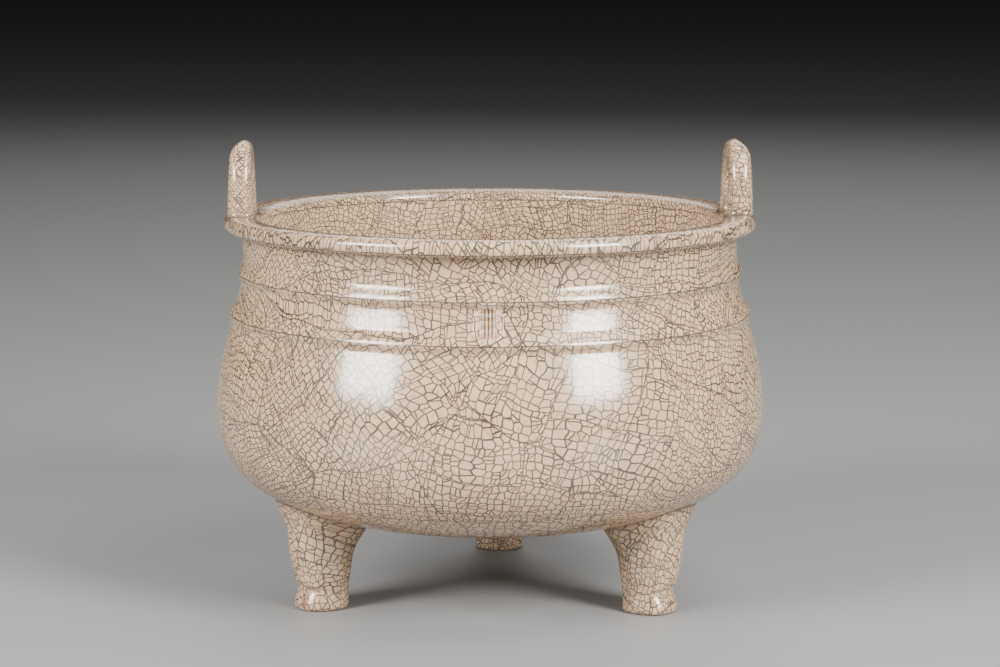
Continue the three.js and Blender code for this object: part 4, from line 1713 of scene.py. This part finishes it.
class Censer:
    """The whole vessel: bowl, ears and feet joined into one skin."""

    def __init__(self) -> None:
        """Shapes every part of it."""
        self.bowl = Bowl(BowlForm(), Relief())
        self.foot = Foot(FootForm(), self.bowl)
        self.ear = Ear(EarForm(), self.bowl)

    def windows(self) -> list[Window]:
        """The parts of the lip around the two ears.

        Returns:
            One window for each ear.
        """
        lines = self.ear.footprint_lines
        every = np.concatenate(lines)
        half = np.abs(every[:, 0]).max() / LIP_RADIUS + 0.035
        low, high = every[:, 1].min() - 0.5, every[:, 1].max() + 0.6
        return [Window(middle, half, low, high, lines) for middle in (-math.pi, 0.0)]

    def build(self, glaze: bpy.types.Material) -> bpy.types.Object:
        """Builds the piece.

        Args:
            glaze: Its material.

        Returns:
            The object, its place in its mesh.
        """
        skin = Skin()
        self.bowl.build(skin, self.windows(), self.foot.footprints())
        around = Around()
        foot_skin, ear_skin = Skin(), Skin()
        self.foot.build(foot_skin)
        self.ear.build(ear_skin)
        first = math.radians(90 + self.foot.form.turn)
        feet = around.repeat(foot_skin.build("foot"), self.foot.form.count, first, glaze)
        ears = around.repeat(ear_skin.build("ear"), 2, 0.0, glaze)
        mesh = self.join([skin.build("bowl"), feet, ears])
        self.limb_lines(skin)
        self.mark(mesh, skin)
        mesh.materials.clear()
        mesh.materials.append(glaze)
        piece = bpy.data.objects.new("glazed_censer", mesh)
        bpy.context.scene.collection.objects.link(piece)
        return piece

    def limb_lines(self, skin: Skin) -> None:
        """Notes the lines where feet and ears are joined, and where their own charts close.

        Args:
            skin: The skin that keeps the lines.
        """
        foot, ear = self.foot, self.ear
        turns = [math.radians(90 + foot.form.turn + 120 * i) for i in range(foot.form.count)]
        for angle in turns:
            for line, joint in ((foot.columns[:, -1], True), (foot.columns[:, 0], False)):
                skin.line(self.turned(np.concatenate([line, line[:1]]), angle), joint)
            skin.line(self.turned(foot.columns[0], angle))
        for angle in (0.0, math.pi):
            for ring in (ear.rings[0], ear.rings[-1]):
                skin.line(self.turned(np.concatenate([ring, ring[:1]]), angle), True)
            skin.line(self.turned(ear.rings[:, 0], angle))

    @staticmethod
    def turned(points: np.ndarray, angle: float) -> np.ndarray:
        """Points turned about the axis."""
        cos, sin = math.cos(angle), math.sin(angle)
        return points @ np.array([[cos, sin, 0], [-sin, cos, 0], [0, 0, 1]])

    @staticmethod
    def join(meshes: Sequence[bpy.types.Mesh]) -> bpy.types.Mesh:
        """Joins meshes and welds the points that they share.

        Args:
            meshes: The meshes.

        Returns:
            One mesh.
        """
        whole = bmesh.new()
        for mesh in meshes:
            whole.from_mesh(mesh)
        bmesh.ops.remove_doubles(whole, verts=whole.verts, dist=4e-6)
        result = bpy.data.meshes.new("glazed_censer")
        whole.to_mesh(result)
        loose = sum(1 for e in whole.edges if len(e.link_faces) != 2)
        LOG.info("joined: %d faces, %d open edges", len(whole.faces), loose)
        whole.free()
        result.shade_smooth()
        return result

    @staticmethod
    def mark(mesh: bpy.types.Mesh, skin: Skin) -> None:
        """Writes on each point how far it is from a chart's edge and from a joint.

        Args:
            mesh: The joined mesh.
            skin: The skin that keeps the lines.
        """
        points = np.empty(len(mesh.vertices) * 3, np.float32)
        mesh.vertices.foreach_get("co", points)
        points = points.reshape(-1, 3) / MM
        joints = near_lines(points, skin.joint_lines, FAR)
        edges = np.minimum(near_lines(points, skin.chart_lines, FAR), joints)
        for name, values in (("edge_gap", edges), ("joint_gap", joints)):
            attribute = mesh.attributes.new(name, "FLOAT", "POINT")
            attribute.data.foreach_set("value", values.astype(np.float32))


@dataclass(frozen=True)
class StudioLight:
    """A softbox: where it stands, what it is aimed at, how large and how strong it is."""

    name: str
    place: tuple[float, float, float]
    aim: tuple[float, float, float]
    size: tuple[float, float]
    power: float

    def build(self) -> None:
        """Adds the light to the scene."""
        data = bpy.data.lights.new(self.name, "AREA")
        data.shape, data.size, data.size_y, data.energy = "RECTANGLE", self.size[0], self.size[1], self.power
        lamp = bpy.data.objects.new(self.name, data)
        lamp.location = self.place
        lamp.rotation_euler = (Vector(self.aim) - Vector(self.place)).to_track_quat("-Z", "Y").to_euler()
        bpy.context.scene.collection.objects.link(lamp)


class Studio:
    """Floor, lights and camera around the piece."""

    def build(self) -> None:
        """Adds them to the scene."""
        self.floor()
        self.world()
        for light in (
            StudioLight("left_softbox", (-0.927, -0.674, 0.588), (0, 0, 0.09), (0.5, 0.57), 33.0),
            StudioLight("right_softbox", (0.783, -0.825, 0.608), (0, 0, 0.09), (0.42, 0.55), 36.0),
            StudioLight("high_softbox", (0.55, -0.35, 1.25), (-0.03, 0, 0.1), (0.7, 0.7), 9.0),
            StudioLight("back_softbox", (0.3, 1.5, 1.3), (0, 0, 0.09), (1.7, 1.2), 13.0),
            StudioLight("top_light", (0.0, 0.3, 3.2), (0, 0.3, 0), (5.0, 5.0), 5.0),
        ):
            light.build()
        self.camera()

    def floor(self) -> None:
        """A plain pale floor."""
        mesh = bpy.data.meshes.new("floor")
        half = 24.0
        corners = [(-half, -half, 0), (half, -half, 0), (half, half, 0), (-half, half, 0)]
        mesh.from_pydata(corners, [], [(0, 1, 2, 3)])
        material = bpy.data.materials.new("floor")
        material.use_nodes = True
        shader = material.node_tree.nodes["Principled BSDF"]
        shader.inputs["Base Color"].default_value = (0.25, 0.247, 0.243, 1)
        shader.inputs["Roughness"].default_value = 0.55
        mesh.materials.append(material)
        floor = bpy.data.objects.new("floor", mesh)
        bpy.context.scene.collection.objects.link(floor)

    def world(self) -> None:
        """A soft even light from all around."""
        world = bpy.data.worlds.new("studio")
        bpy.context.scene.world = world
        world.use_nodes = True
        back = world.node_tree.nodes["Background"]
        back.inputs["Color"].default_value = (0.93, 0.95, 1.0, 1)
        back.inputs["Strength"].default_value = 0.02

    def camera(self) -> None:
        """The camera, at the photo's place and angle."""
        data = bpy.data.cameras.new("camera")
        data.lens, data.sensor_width, data.sensor_fit = 102.59, 36.0, "HORIZONTAL"
        data.clip_end = 50.0
        camera = bpy.data.objects.new("camera", data)
        camera.location = (-0.03078, -0.98037, 0.23333)
        camera.rotation_euler = (math.radians(90 - 8.316), 0.0, math.radians(-2.0))
        bpy.context.scene.collection.objects.link(camera)
        bpy.context.scene.camera = camera


def main() -> None:
    """Builds the piece and its studio, and ties the piece to the frame."""
    logging.basicConfig(level=logging.INFO, format="%(name)s: %(message)s")
    censer = Censer()
    glaze = GlazeFinish().build(censer.bowl)
    piece = censer.build(glaze)
    LOG.info("glazed_censer: %d points, %d faces", len(piece.data.vertices), len(piece.data.polygons))
    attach(piece, "root")
    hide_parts("censer")
    Studio().build()
    LOG.info("studio: floor, four softboxes, top light, camera")
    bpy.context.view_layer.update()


if __name__ == "__main__":
    main()
